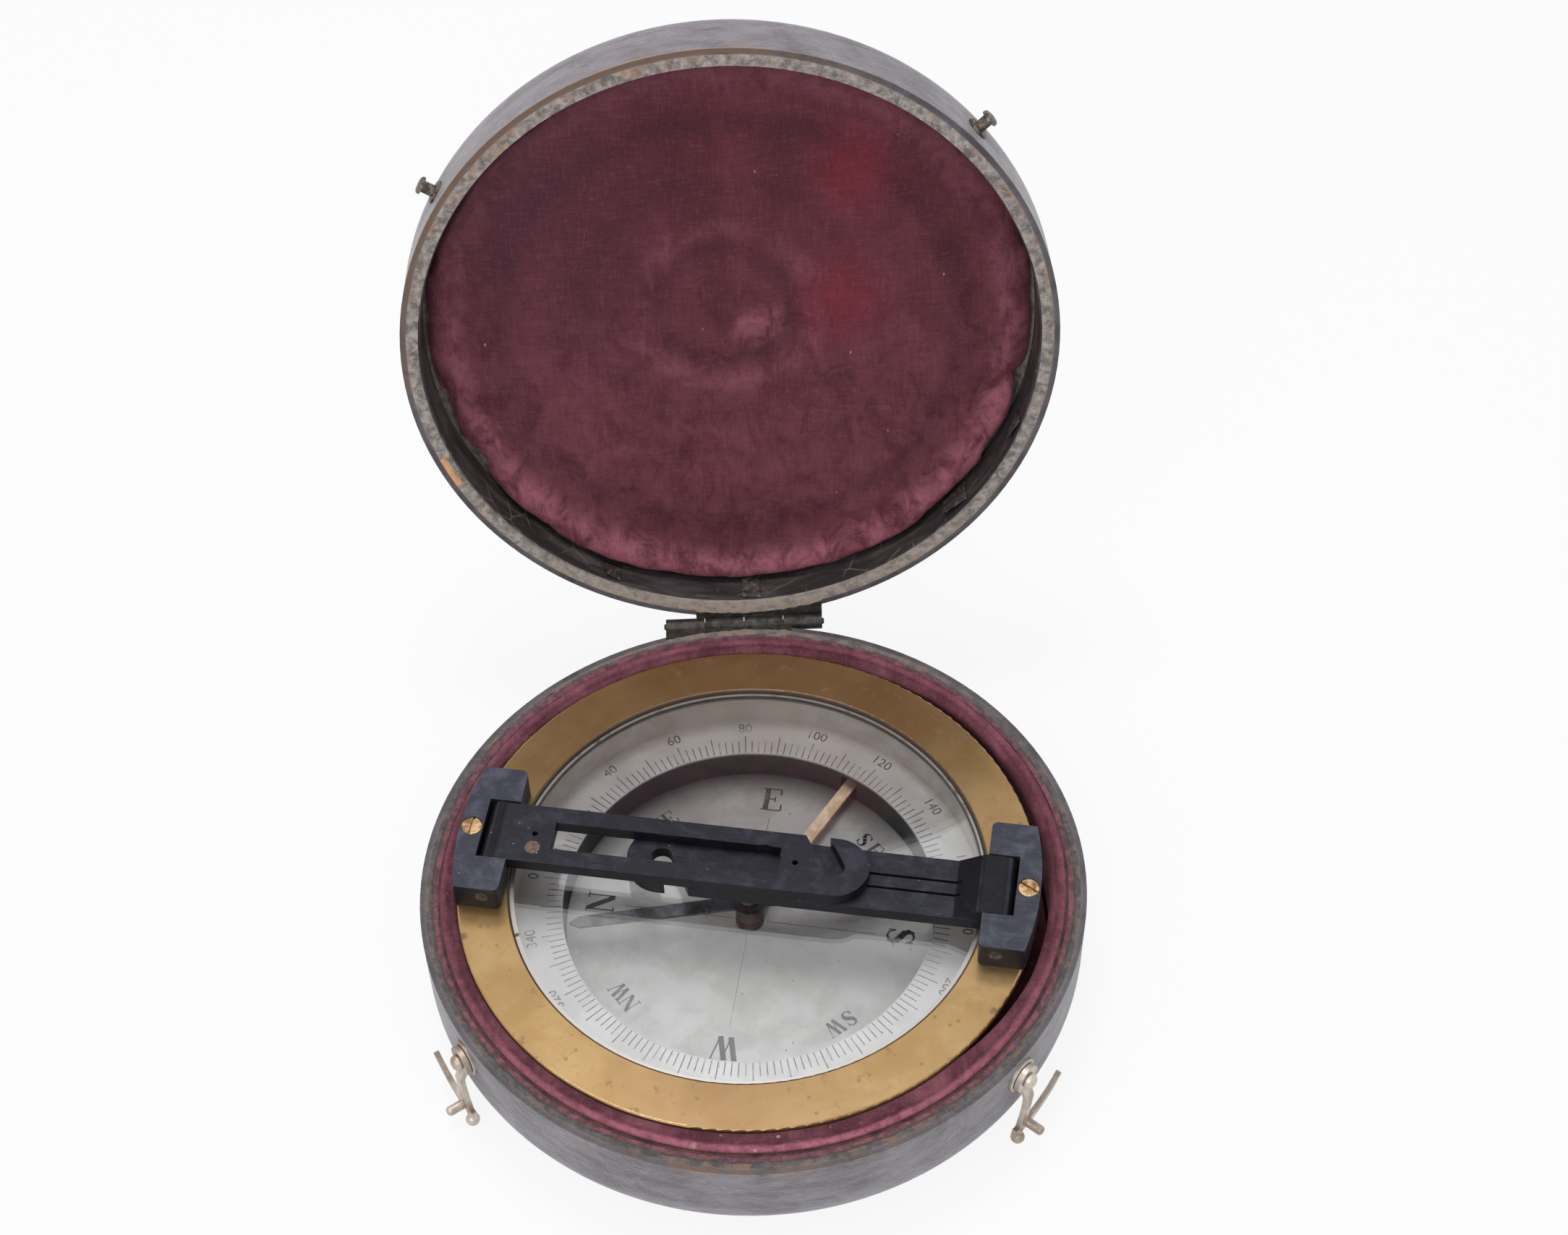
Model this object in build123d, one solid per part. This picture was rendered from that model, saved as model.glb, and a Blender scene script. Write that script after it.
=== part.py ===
from build123d import *
import os
from math import atan2, cos, degrees, hypot, radians, sin

# A round leather-covered case for a sighting compass, with its lid open.
# Millimetres, +Z up. The origin is the centre of the underside and +Y points
# to the hinge. Heights of the base are built from the floor, heights of the
# lid from its rim as it lies shut, and heights of the compass from the rim of
# the base.

# Case, outside sizes over the leather
CASE_R = 50.0
BASE_H = 18.4
LID_H = 15.1
BASE_EDGE_R = 8.1
LID_EDGE_R = 7.0

# Case, thicknesses
HIDE_T = 0.9
SHELL_T = 1.8
FOOT_T = 0.6
FOOT_EDGE = 0.5          # foot disc inside the flat of the underside
BED_T = 1.8
STRIP_T = 0.2

# Clearances
RIM_GAP = 0.05           # shut lid above the rim of the base
GLUE = 0.05              # between glued curved faces
SWING = 0.12             # round a barrel that turns past a notch
RUN = 0.05               # radial, between a pin and its bore
SIDE = 0.1               # between knuckles, along the pin
CUT = 1.0                # a cutting body runs past what it cuts by this

# Collar that the lid slips over, lined with velvet
COLLAR_RISE = 0.3        # board above the rim
COLLAR_T = 1.95
COLLAR_LEAD = 0.35       # step of the board inside the lid's wall
LINING_T = 0.5
LINING_RISE = 0.95       # velvet roll above the rim
ROLL_R = 0.45
ROLL_OUT_R = 0.58

# Lid pad
PAD_T = 6.6
PAD_MARGIN = 0.9         # pad edge inside the lining strip
PAD_EDGE_R = 1.2

# Lid hinge
OPEN_ANGLE = 101.65
HINGE_OUT = 1.2          # axis behind the leather
HINGE_DROP = 0.65        # axis below the rim
KNUCKLE_R = 1.25
HINGE_PIN_R = 0.5
HINGE_X0 = -12.5
HINGE_X1 = 13.0
KNUCKLES = 4
LEAF_T = 0.6
LEAF_SHORT = 5.0         # leaf that stops short of the far end of the barrel
PIN_PROUD = 0.3
PIN_ROUND = 0.25

# Side hooks and the studs that they catch
HOOK_RIGHT_ANGLE = -42.0
HOOK_LEFT_ANGLE = -148.0
STUD_RISE = 5.0          # stud above the lid's rim
STUD_NECK_R = 0.9
STUD_HEAD_R = 1.35
STUD_HEAD_T = 0.6
STUD_HEAD_ROUND = 0.42
STUD_PLATE_R = 1.8
HOOK_PLATE_R = 2.8
PLATE_T = 0.45
PLATE_BEVEL = 0.18
TAIL_R = 0.6
HOOK_T = 0.8
HOOK_EYE_R = 2.3
HOOK_JOG = 0.8           # catch stands out from the eye by this
HOOK_PLAY = 0.1
HOOK_SLIP = 0.15         # between the catch and the neck of the stud
SHANK_EYE_W = 2.6
SHANK_WAIST_W = 1.5
SHANK_END_W = 2.0
SHANK_BOW = 0.55
SHANK_LAP = 0.9          # shank runs into the catch by this
CATCH_T = 1.5
CATCH_TIP_T = 0.5
CATCH_SPAN = 56.0
CATCH_ROOT_ANGLE = -8.0
BALL_R = 1.05
BALL_STEP = 1.2          # ball centre below the catch
BALL_LIFT = 0.15         # ball above the floor as the hook hangs
BALL_NECK_R = 0.55
BUTTON_R = 0.75
BUTTON_H = 2.6
BUTTON_ROUND = 0.52
BUTTON_ALONG = 1.6
RIVET_R = 0.7
RIVET_HEAD_R = 1.2
RIVET_HEAD_H = 1.1
RIVET_HEAD_ROUND = 0.88

# Compass in the case
COMPASS_X = -0.75
COMPASS_Y = 0.25
COMPASS_TURN = -10.8
FLANGE_PLAY = 1.0        # flange inside the velvet
FLANGE_W = 7.85
FLANGE_TOP = 0.5         # above the rim
FLANGE_T = 1.2
FLANGE_EDGE = 0.35
BOWL_WALL = 1.25
BOWL_FLOOR_T = 0.8
BOWL_EDGE_R = 2.4
BOWL_LIFT = 0.05         # above the bed
GLASS_T = 1.3
GLASS_DEPTH = 2.0        # underside of the glass below the rim
BEZEL_H = 0.45
BEZEL_W = 0.65
BEZEL_SPLIT = 0.6
RING_RISE = 5.1          # degree ring above the dial
RING_T = 0.9
RING_WALL = 0.8
RING_INSET = 0.55        # graduated step inside the bore of the bowl
RING_W = 7.0
DIAL_T = 0.45

# Needle, its pivot and its lifter
NEEDLE_SHORT = 0.9       # needle point inside the degree ring
NEEDLE_W = 2.4
NEEDLE_END_W = 1.92
NEEDLE_POINT_L = 1.5
NEEDLE_T = 0.5
NEEDLE_RISE = 4.8        # above the dial
NEEDLE_TURN = 16.3       # from the sight line
NEEDLE_BOSS_R = 2.6
COLLET_R = 1.5
COLLET_H = 2.2
COLLET_BORE_R = 0.95
JEWEL_R = 2.0
JEWEL_H = 1.3
JEWEL_ROUND = 0.97
POST_R = 0.55
POST_FOOT_R = 2.2
POST_FOOT_H = 0.6
POST_FLARE_H = 0.5
POST_POINT_L = 1.2
POST_TIP_R = 0.08
LIFTER_TURN = 65.3       # from the sight line
LIFTER_W = 1.9
LIFTER_T = 0.6
LIFTER_RISE = 2.0        # above the dial
LIFTER_RING_R = 2.1
LIFTER_BORE_R = 1.1
LIFTER_PAST = 3.6        # fulcrum outside the inner edge of the degree ring
LIFTER_SIDE = 0.5        # lever in its slot, each side
LIFTER_TAIL = 1.6
LIFTER_FREE = 0.2
FULCRUM_R = 0.4
FULCRUM_WALL = 0.5
FULCRUM_EAR_T = 0.7
FULCRUM_EAR_W = 2.2
FULCRUM_FOOT_T = 0.5

# Folding sights
BRACKET_W = 22.6
EAR_IN = 8.2             # ears' inner faces inside the flange's edge
WEB_IN = 3.55            # web's inner face inside the flange's edge
SCREW_IN = 1.8           # screw inside the flange's edge
PIN_IN = 5.6             # hinge pin inside the flange's edge
BRACKET_H = 4.8
BRACKET_ROUND = 1.0
SCREW_HEAD_R = 1.65
SCREW_HEAD_H = 1.1
SCREW_HEAD_ROUND = 0.24
SCREW_R = 0.8
SCREW_SLOT_W = 0.45
SCREW_SLOT_D = 0.4
SCREW_LEFT_TURN = -93.0
SCREW_RIGHT_TURN = -30.0
SIGHT_PIN_R = 0.95
PIN_BELOW_TOP = 2.0      # pin axis below the top of the bracket
VANE_W = 10.4
VANE_T = 2.1
HEAD_AT = 13.1           # centre of the round head past the compass centre
VANE_KNUCKLE_R = 1.9
VANE_ROOT_DROP = 1.14    # root of the lower vane below the pin axis
VANE_PLAY = 0.15         # each side, in the bracket
VANE_STACK = 0.1         # between the two folded vanes
UPPER_TOP = 5.0          # top of the upper blade above the rim
JOGGLE_IN = 3.0          # lower vane steps down from here, from the pin axis
JOGGLE_L = 4.0
WINDOW_IN = 8.7          # square end of the window from the pin axis
WINDOW_STOP = 8.3        # other end of the window from the head's centre
WINDOW_W = 4.9
WINDOW_BULGE = 5.3
HAIR_HOLE_R = 0.45
HAIR_HOLE_IN = 5.9       # from the pin axis and from the head's centre
PLUG_IN = 6.0            # copper plug from the pin axis
PLUG_SIDE = 2.5
PLUG_R = 1.15
HOOK_SLOT_W = 3.1
HOOK_SLOT_TURN = 31.0    # slot leans towards the root from square to the blade
TRACK_IN = 6.2
TRACK_L = 14.5
TRACK_W = 2.8
TRACK_SLIT_W = 0.45
TRACK_DEPTH = 0.5

# Worked out from the sizes above
RIM = BASE_H
SHELL_R = CASE_R - HIDE_T
WELL_R = SHELL_R - SHELL_T
HIDE_Z = FOOT_T
SHELL_Z = HIDE_Z + HIDE_T
FLOOR_Z = SHELL_Z + SHELL_T - GLUE
BED_TOP = SHELL_Z + SHELL_T + BED_T
COLLAR_R = WELL_R - GLUE
LINING_R = COLLAR_R - COLLAR_T - LINING_T
HINGE_Y = CASE_R + HINGE_OUT
HINGE_Z = RIM - HINGE_DROP
SHUT_Z = RIM + RIM_GAP
HOOK_ANGLE = {"right": HOOK_RIGHT_ANGLE, "left": HOOK_LEFT_ANGLE}
STUD_Z = SHUT_Z + STUD_RISE
CATCH_MORE = STUD_NECK_R + HOOK_SLIP
BALL_MORE = CATCH_T + BALL_STEP
PIVOT_Z = (STUD_Z + CATCH_MORE + BALL_MORE + BALL_R + BALL_LIFT) / 2
CATCH_R = STUD_Z - PIVOT_Z + CATCH_MORE
BALL_AT = CATCH_R + BALL_MORE
FLANGE_R = LINING_R - FLANGE_PLAY
BOWL_BORE_R = FLANGE_R - FLANGE_W
RING_OUT_R = BOWL_BORE_R - RING_INSET
RING_IN_R = RING_OUT_R - RING_W
NEEDLE_HALF = RING_IN_R - NEEDLE_SHORT
LIFTER_ARM = RING_IN_R + LIFTER_PAST
GLASS_R = BOWL_BORE_R - GLUE
BOWL_FLOOR = -(RIM - BED_TOP - BOWL_LIFT)
DIAL_Z = BOWL_FLOOR + BOWL_FLOOR_T + DIAL_T
RING_Z = DIAL_Z + RING_RISE
NEEDLE_Z = DIAL_Z + NEEDLE_RISE
LIFTER_Z = DIAL_Z + LIFTER_RISE
GLASS_Z = -GLASS_DEPTH
SCREW_TURN = {"left": SCREW_LEFT_TURN, "right": SCREW_RIGHT_TURN}
BRACKET_TOP = FLANGE_TOP + BRACKET_H
SIGHT_PIN_Z = BRACKET_TOP - PIN_BELOW_TOP
LOWER_TOP = UPPER_TOP - VANE_T - VANE_STACK
SCREW_AT = FLANGE_R - SCREW_IN
PIN_AT = FLANGE_R - PIN_IN
VANE_TIP = HEAD_AT + VANE_W / 2
THROUGH_VANE = (FLANGE_TOP - CUT, BRACKET_TOP + CUT)

COMPASS = Location((COMPASS_X, COMPASS_Y, RIM), (0, 0, COMPASS_TURN))
SIDES = {"left": -1, "right": 1}


def turned(*points):
    """Solid turned about Z from straight lines between (radius, height) points."""
    return revolve(make_face(Plane.XZ * Polyline(*points, close=True)), Axis.Z)


def rounded_section(points, radii):
    """Section in the XZ plane with the named corners rounded."""
    section = make_face(Plane.XZ * Polyline(*points, close=True))
    for (x, z), radius in radii:
        corner = section.vertices().sort_by_distance((x, 0, z))[0]
        section = fillet(corner, radius)
    return section


def cup(outer_r, edge_r, bottom, top, wall):
    """Round cup with a rounded lower edge and an even wall."""
    points = [(0, bottom), (outer_r, bottom), (outer_r, top), (outer_r - wall, top),
              (outer_r - wall, bottom + wall), (0, bottom + wall)]
    radii = [((outer_r, bottom), edge_r), ((outer_r - wall, bottom + wall), edge_r - wall)]
    return revolve(rounded_section(points, radii), Axis.Z)


def plug(outer_r, edge_r, bottom, top):
    """Round body that fills such a cup."""
    points = [(0, bottom), (outer_r, bottom), (outer_r, top), (0, top)]
    return revolve(rounded_section(points, [((outer_r, bottom), edge_r)]), Axis.Z)


def rod(radius, start, end):
    """Round bar between two points."""
    start, end = Vector(*start), Vector(*end)
    plane = Plane(origin=start, z_dir=end - start)
    return plane * Cylinder(radius, (end - start).length, align=(Align.CENTER, Align.CENTER, Align.MIN))


def along_x(radius, x0, x1, y, z):
    """Round bar along X."""
    return rod(radius, (x0, y, z), (x1, y, z))


def disc(radius, bottom, top, x=0, y=0):
    """Upright round disc."""
    return rod(radius, (x, y, bottom), (x, y, top))


def block(x, y, z):
    """Box between three pairs of limits."""
    size = [high - low for low, high in (x, y, z)]
    middle = [(high + low) / 2 for low, high in (x, y, z)]
    return Pos(*middle) * Box(*size)


def shut_to_open(shape):
    """Swing a piece of the lid from shut to its rest on the hinge stop."""
    hinge = Axis((0, HINGE_Y, HINGE_Z), (-1, 0, 0))
    return shape.rotate(hinge, OPEN_ANGLE)


def on_wall(azimuth, height):
    """Plane on the side of the case: x along the wall, y up, z outward."""
    a = radians(azimuth)
    return Plane(origin=(CASE_R * cos(a), CASE_R * sin(a), height),
                 x_dir=(-sin(a), cos(a), 0), z_dir=(cos(a), sin(a), 0))


# Hinge

def hinge_spans():
    """Stretch of the barrel that each knuckle takes, from left to right."""
    width = (HINGE_X1 - HINGE_X0) / KNUCKLES
    starts = [HINGE_X0 + i * width for i in range(KNUCKLES)]
    return [(x + SIDE / 2, x + width - SIDE / 2) for x in starts]


def leaf_plate(x0, x1, bottom):
    """Flat leaf let into a rim, from the well to the barrel."""
    plate = block((x0, x1), (0, HINGE_Y), (bottom, bottom + LEAF_T))
    return plate - disc(WELL_R, bottom - CUT, bottom + LEAF_T + CUT)


def barrel_notch():
    """Room for the barrel in the wall of the base and of the lid."""
    return along_x(KNUCKLE_R + SWING, HINGE_X0 - SWING, HINGE_X1 + SWING, HINGE_Y, HINGE_Z)


def hinge_leaf(x0, x1, bottom, own, other, bore_r):
    """Leaf with its knuckles, cut clear of the knuckles of the other leaf."""
    spans = hinge_spans()
    leaf = leaf_plate(x0, x1, bottom)
    for i in other:
        a, b = spans[i]
        leaf -= along_x(KNUCKLE_R + SWING, a - SIDE, b + SIDE, HINGE_Y, HINGE_Z)
    for i in own:
        a, b = spans[i]
        leaf += along_x(KNUCKLE_R, a, b, HINGE_Y, HINGE_Z)
    return leaf - along_x(bore_r, HINGE_X0 - CUT, HINGE_X1 + CUT, HINGE_Y, HINGE_Z)


def hinge_base_leaf():
    return hinge_leaf(HINGE_X0, HINGE_X1 - LEAF_SHORT, RIM - LEAF_T, (0, 2), (1, 3), HINGE_PIN_R)


def hinge_lid_leaf():
    leaf = hinge_leaf(HINGE_X0 + LEAF_SHORT, HINGE_X1, SHUT_Z, (1, 3), (0, 2), HINGE_PIN_R + RUN)
    return shut_to_open(leaf)


def hinge_pin():
    pin = along_x(HINGE_PIN_R, HINGE_X0 - PIN_PROUD, HINGE_X1 + PIN_PROUD, HINGE_Y, HINGE_Z)
    return fillet(pin.edges().filter_by(GeomType.CIRCLE), PIN_ROUND)


# Base

def base_cut():
    """What is let into the wall of the base: leaf, barrel and hook rivets."""
    cut = leaf_plate(HINGE_X0, HINGE_X1 - LEAF_SHORT, RIM - LEAF_T) + barrel_notch()
    for side in SIDES:
        cut += on_wall(HOOK_ANGLE[side], PIVOT_Z) * wall_tail(RIVET_R, CUT)
    return cut


def wall_tail(radius, reach):
    """Tail of a rivet through leather and shell, on the wall plane."""
    return rod(radius, (0, 0, WELL_R + GLUE - CASE_R), (0, 0, reach))


def base_core():
    return cup(SHELL_R, BASE_EDGE_R - HIDE_T, SHELL_Z, RIM, SHELL_T) - base_cut()


def base_leather():
    return cup(CASE_R, BASE_EDGE_R, HIDE_Z, RIM, HIDE_T) - base_cut()


def base_foot():
    return disc(CASE_R - BASE_EDGE_R - FOOT_EDGE, 0, HIDE_Z)


def base_well():
    """Room inside the shell of the base, less the glue."""
    edge_r = BASE_EDGE_R - HIDE_T - SHELL_T - GLUE
    return plug(COLLAR_R, edge_r, SHELL_Z + SHELL_T, RIM + LINING_RISE)


def base_bed():
    return base_well() & disc(COLLAR_R - COLLAR_T - GLUE, FLOOR_Z, BED_TOP)


def base_collar():
    inner_r = COLLAR_R - COLLAR_T
    band = turned((inner_r, FLOOR_Z), (COLLAR_R, FLOOR_Z), (COLLAR_R, RIM),
                  (COLLAR_R - COLLAR_LEAD, RIM), (COLLAR_R - COLLAR_LEAD, RIM + COLLAR_RISE),
                  (inner_r, RIM + COLLAR_RISE))
    return base_well() & band


def collar_velvet():
    """Velvet down the inside of the collar and rolled over its top."""
    outer_r = COLLAR_R - COLLAR_LEAD
    inner_r = COLLAR_R - COLLAR_T
    top = RIM + LINING_RISE
    points = [(LINING_R, BED_TOP + GLUE), (inner_r, BED_TOP + GLUE), (inner_r, RIM + COLLAR_RISE),
              (outer_r, RIM + COLLAR_RISE), (outer_r, top), (LINING_R, top)]
    radii = [((outer_r, top), ROLL_OUT_R), ((LINING_R, top), ROLL_R)]
    return revolve(rounded_section(points, radii), Axis.Z)


# Lid, built shut and swung open

def crown_down(shape):
    """Turn a cup over so that its rim lies on the shut line."""
    return Pos(0, 0, SHUT_Z + LID_H) * Rot(180, 0, 0) * shape


def lid_cut():
    cut = leaf_plate(HINGE_X0 + LEAF_SHORT, HINGE_X1, SHUT_Z) + barrel_notch()
    for side in SIDES:
        cut += on_wall(HOOK_ANGLE[side], STUD_Z) * wall_tail(TAIL_R, CUT)
    return cut


def lid_leather():
    return shut_to_open(crown_down(cup(CASE_R, LID_EDGE_R, 0, LID_H, HIDE_T)) - lid_cut())


def lid_core():
    shell = crown_down(cup(SHELL_R, LID_EDGE_R - HIDE_T, HIDE_T, LID_H, SHELL_T))
    return shut_to_open(shell - lid_cut())


def lid_strip():
    """Paper strip round the inside of the lid's wall."""
    lid_floor = LID_H - HIDE_T - SHELL_T
    wall = lid_floor - (LID_EDGE_R - HIDE_T - SHELL_T)
    outer_r = WELL_R - GLUE
    strip = turned((outer_r - STRIP_T, SHUT_Z + LEAF_T), (outer_r, SHUT_Z + LEAF_T),
                   (outer_r, SHUT_Z + wall), (outer_r - STRIP_T, SHUT_Z + wall))
    return shut_to_open(strip)


def lid_pad():
    """Padded disc in the crown, with a soft front edge."""
    floor = HIDE_T + SHELL_T
    radius = WELL_R - GLUE - STRIP_T - PAD_MARGIN
    face = floor + PAD_T
    back_r = LID_EDGE_R - HIDE_T - SHELL_T
    points = [(0, floor), (radius, floor), (radius, face), (0, face)]
    radii = [((radius, floor), back_r), ((radius, face), PAD_EDGE_R)]
    return shut_to_open(crown_down(revolve(rounded_section(points, radii), Axis.Z)))


def wall_plate(radius, hole_r):
    """Small round plate that follows the curve of the wall."""
    plate = rod(radius, (0, 0, -CUT), (0, 0, PLATE_T))
    plate -= rod(hole_r, (0, 0, -2 * CUT), (0, 0, PLATE_T + CUT))
    rim_edge = plate.edges().filter_by(GeomType.CIRCLE).group_by(Axis.Z)[-1].sort_by(SortBy.RADIUS)[-1]
    return chamfer(rim_edge, PLATE_BEVEL)


def lid_stud(side):
    """Headed stud with its plate and a tail riveted through the wall."""
    catch_top = PLATE_T + HOOK_PLAY + HOOK_JOG + HOOK_T
    neck_end = catch_top + HOOK_PLAY
    stud = wall_plate(STUD_PLATE_R, TAIL_R) + rod(STUD_NECK_R, (0, 0, PLATE_T / 2), (0, 0, neck_end))
    head = rod(STUD_HEAD_R, (0, 0, neck_end), (0, 0, neck_end + STUD_HEAD_T))
    stud += fillet(head.edges().group_by(Axis.Z)[-1], STUD_HEAD_ROUND)
    plane = on_wall(HOOK_ANGLE[side], STUD_Z)
    placed = plane * stud - disc(CASE_R, SHUT_Z, SHUT_Z + LID_H)
    placed += plane * wall_tail(TAIL_R, PLATE_T)
    return shut_to_open(placed)


# Hooks, drawn hanging straight down with the catch towards +x

def polar(radius, angle):
    """Point at a distance from the pivot, angle counted from straight down."""
    return (radius * sin(radians(angle)), -radius * cos(radians(angle)))


def hook_catch():
    """Crescent that turns about the pivot and tapers to its tip."""
    middle = (CATCH_SPAN + CATCH_ROOT_ANGLE) / 2
    inner = ThreePointArc(polar(CATCH_R, CATCH_ROOT_ANGLE), polar(CATCH_R, middle),
                          polar(CATCH_R, CATCH_SPAN))
    outer = ThreePointArc(polar(CATCH_R + CATCH_TIP_T, CATCH_SPAN),
                          polar(CATCH_R + (CATCH_T + CATCH_TIP_T) / 2, middle),
                          polar(CATCH_R + CATCH_T, CATCH_ROOT_ANGLE))
    tip = Line(inner @ 1, outer @ 0)
    root = Line(outer @ 1, inner @ 0)
    face = make_face([inner, tip, outer, root])
    return extrude(face, HOOK_T)


def hook_shank():
    """Bowed shank from the eye to the catch, stepped outward below the eye."""
    length = CATCH_R + SHANK_LAP
    left = ThreePointArc((-SHANK_EYE_W / 2, 0), (SHANK_BOW - SHANK_WAIST_W / 2, -length / 2),
                         (-SHANK_END_W / 2, -length))
    right = ThreePointArc((SHANK_END_W / 2, -length), (SHANK_BOW + SHANK_WAIST_W / 2, -length / 2),
                          (SHANK_EYE_W / 2, 0))
    outline = make_face([left, Line(left @ 1, right @ 0), right, Line(right @ 1, left @ 0)])
    step_from, step_to = -HOOK_EYE_R, -HOOK_EYE_R - 2 * HOOK_JOG
    end = -length - CUT
    side = make_face(Polyline((CUT, 0), (step_from, 0), (step_to, HOOK_JOG), (end, HOOK_JOG),
                              (end, HOOK_JOG + HOOK_T), (step_to, HOOK_JOG + HOOK_T),
                              (step_from, HOOK_T), (CUT, HOOK_T), close=True))
    side_plane = Plane(origin=(-HOOK_EYE_R - CUT, 0, 0), x_dir=(0, 1, 0), z_dir=(1, 0, 0))
    profile = extrude(side_plane * side, 2 * (HOOK_EYE_R + CUT))
    return profile & extrude(outline, HOOK_JOG + HOOK_T)


def hook_blank():
    """Whole hook about its pivot: eye, shank, catch, ball and finger button."""
    hook = disc(HOOK_EYE_R, 0, HOOK_T) + hook_shank() + Pos(0, 0, HOOK_JOG) * hook_catch()
    middle = HOOK_JOG + HOOK_T / 2
    hook += rod(BALL_NECK_R, (0, -CATCH_R - CATCH_T / 2, middle), (0, -BALL_AT, middle))
    hook += Pos(0, -BALL_AT, middle) * Sphere(BALL_R)
    x, y = polar(CATCH_R + CATCH_T / 2, degrees(BUTTON_ALONG / CATCH_R))
    button = rod(BUTTON_R, (x, y, middle), (x, y, HOOK_JOG + HOOK_T + BUTTON_H))
    hook += fillet(button.edges().group_by(Axis.Z)[-1], BUTTON_ROUND)
    return hook - disc(RIVET_R + RUN, -CUT, HOOK_T + CUT)


def hook_hang(blank):
    """Angle to turn the hook so that its centre of mass lies under the pivot."""
    centre = blank.center(CenterOf.MASS)
    return degrees(atan2(centre.X, -centre.Y))


def hook_plane(side):
    """Plane of the eye's back face, clear of the plate."""
    plane = on_wall(HOOK_ANGLE[side], PIVOT_Z)
    return plane.offset(PLATE_T + HOOK_PLAY)


def side_hook(side):
    blank = hook_blank()
    hung = Rot(0, 0, -hook_hang(blank)) * blank
    if side == "left":
        hung = mirror(hung, Plane.YZ)
    return hook_plane(side) * hung


def hook_plate(side):
    plate = on_wall(HOOK_ANGLE[side], PIVOT_Z) * wall_plate(HOOK_PLATE_R, RIVET_R)
    return plate - disc(CASE_R, 0, RIM)


def hook_rivet(side):
    """Rivet that the hook turns on, with a domed head and a tail in the wall."""
    head_z = PLATE_T + 2 * HOOK_PLAY + HOOK_T
    rivet = wall_tail(RIVET_R, head_z)
    head = rod(RIVET_HEAD_R, (0, 0, head_z), (0, 0, head_z + RIVET_HEAD_H))
    rivet += fillet(head.edges().group_by(Axis.Z)[-1], RIVET_HEAD_ROUND)
    return on_wall(HOOK_ANGLE[side], PIVOT_Z) * rivet


# Compass body, heights from the rim

def screw_hole(side):
    return disc(SCREW_R, FLANGE_TOP - FLANGE_T - CUT, FLANGE_TOP + CUT, SIDES[side] * SCREW_AT)


def compass_flange():
    low = FLANGE_TOP - FLANGE_T
    points = [(BOWL_BORE_R, low), (FLANGE_R, low), (FLANGE_R, FLANGE_TOP), (BOWL_BORE_R, FLANGE_TOP)]
    radii = [((FLANGE_R, low), FLANGE_EDGE), ((FLANGE_R, FLANGE_TOP), FLANGE_EDGE),
             ((BOWL_BORE_R, FLANGE_TOP), FLANGE_EDGE)]
    flange = revolve(rounded_section(points, radii), Axis.Z)
    for side in SIDES:
        flange -= screw_hole(side)
    return COMPASS * flange


def compass_bowl():
    outer_r = BOWL_BORE_R + BOWL_WALL
    rim_z = FLANGE_TOP - FLANGE_T
    floor = BOWL_FLOOR + BOWL_FLOOR_T
    points = [(0, BOWL_FLOOR), (outer_r, BOWL_FLOOR), (outer_r, rim_z), (BOWL_BORE_R, rim_z),
              (BOWL_BORE_R, floor), (0, floor)]
    bowl = revolve(rounded_section(points, [((outer_r, BOWL_FLOOR), BOWL_EDGE_R)]), Axis.Z)
    return COMPASS * bowl


def dial_floor():
    dial = disc(GLASS_R, DIAL_Z - DIAL_T, DIAL_Z)
    return COMPASS * dial


def degree_ring():
    """Stepped silvered ring: rim under the glass, graduated step, wall to the dial."""
    outer_r = GLASS_R
    ring = turned((RING_OUT_R, GLASS_Z), (outer_r, GLASS_Z), (outer_r, RING_Z - RING_T),
                  (RING_IN_R + RING_WALL, RING_Z - RING_T), (RING_IN_R + RING_WALL, DIAL_Z),
                  (RING_IN_R, DIAL_Z), (RING_IN_R, RING_Z), (RING_OUT_R, RING_Z))
    return COMPASS * (ring - lifter_slot())


def glass():
    return COMPASS * disc(GLASS_R, GLASS_Z, GLASS_Z + GLASS_T)


def bezel_ring():
    """Split spring ring that holds the glass down."""
    low = GLASS_Z + GLASS_T
    section = [(GLASS_R - BEZEL_W, low), (GLASS_R, low), (GLASS_R, low + BEZEL_H),
               (GLASS_R - BEZEL_W, low + BEZEL_H)]
    ring = turned(*section)
    split = block((0, GLASS_R + CUT), (-BEZEL_SPLIT / 2, BEZEL_SPLIT / 2),
                  (low - CUT, low + BEZEL_H + CUT))
    return COMPASS * (ring - Rot(0, 0, -90 - LIFTER_TURN) * split)


# Needle and lifter

def needle_low():
    """Underside of the needle bar."""
    return NEEDLE_Z - NEEDLE_T / 2


def pivot_post():
    """Pointed post that carries the jewel."""
    tip = needle_low() + NEEDLE_T
    post = turned((0, DIAL_Z), (POST_FOOT_R, DIAL_Z), (POST_FOOT_R, DIAL_Z + POST_FOOT_H),
                  (POST_R, DIAL_Z + POST_FOOT_H + POST_FLARE_H), (POST_R, tip - POST_POINT_L),
                  (POST_TIP_R, tip), (0, tip))
    return COMPASS * post


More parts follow.
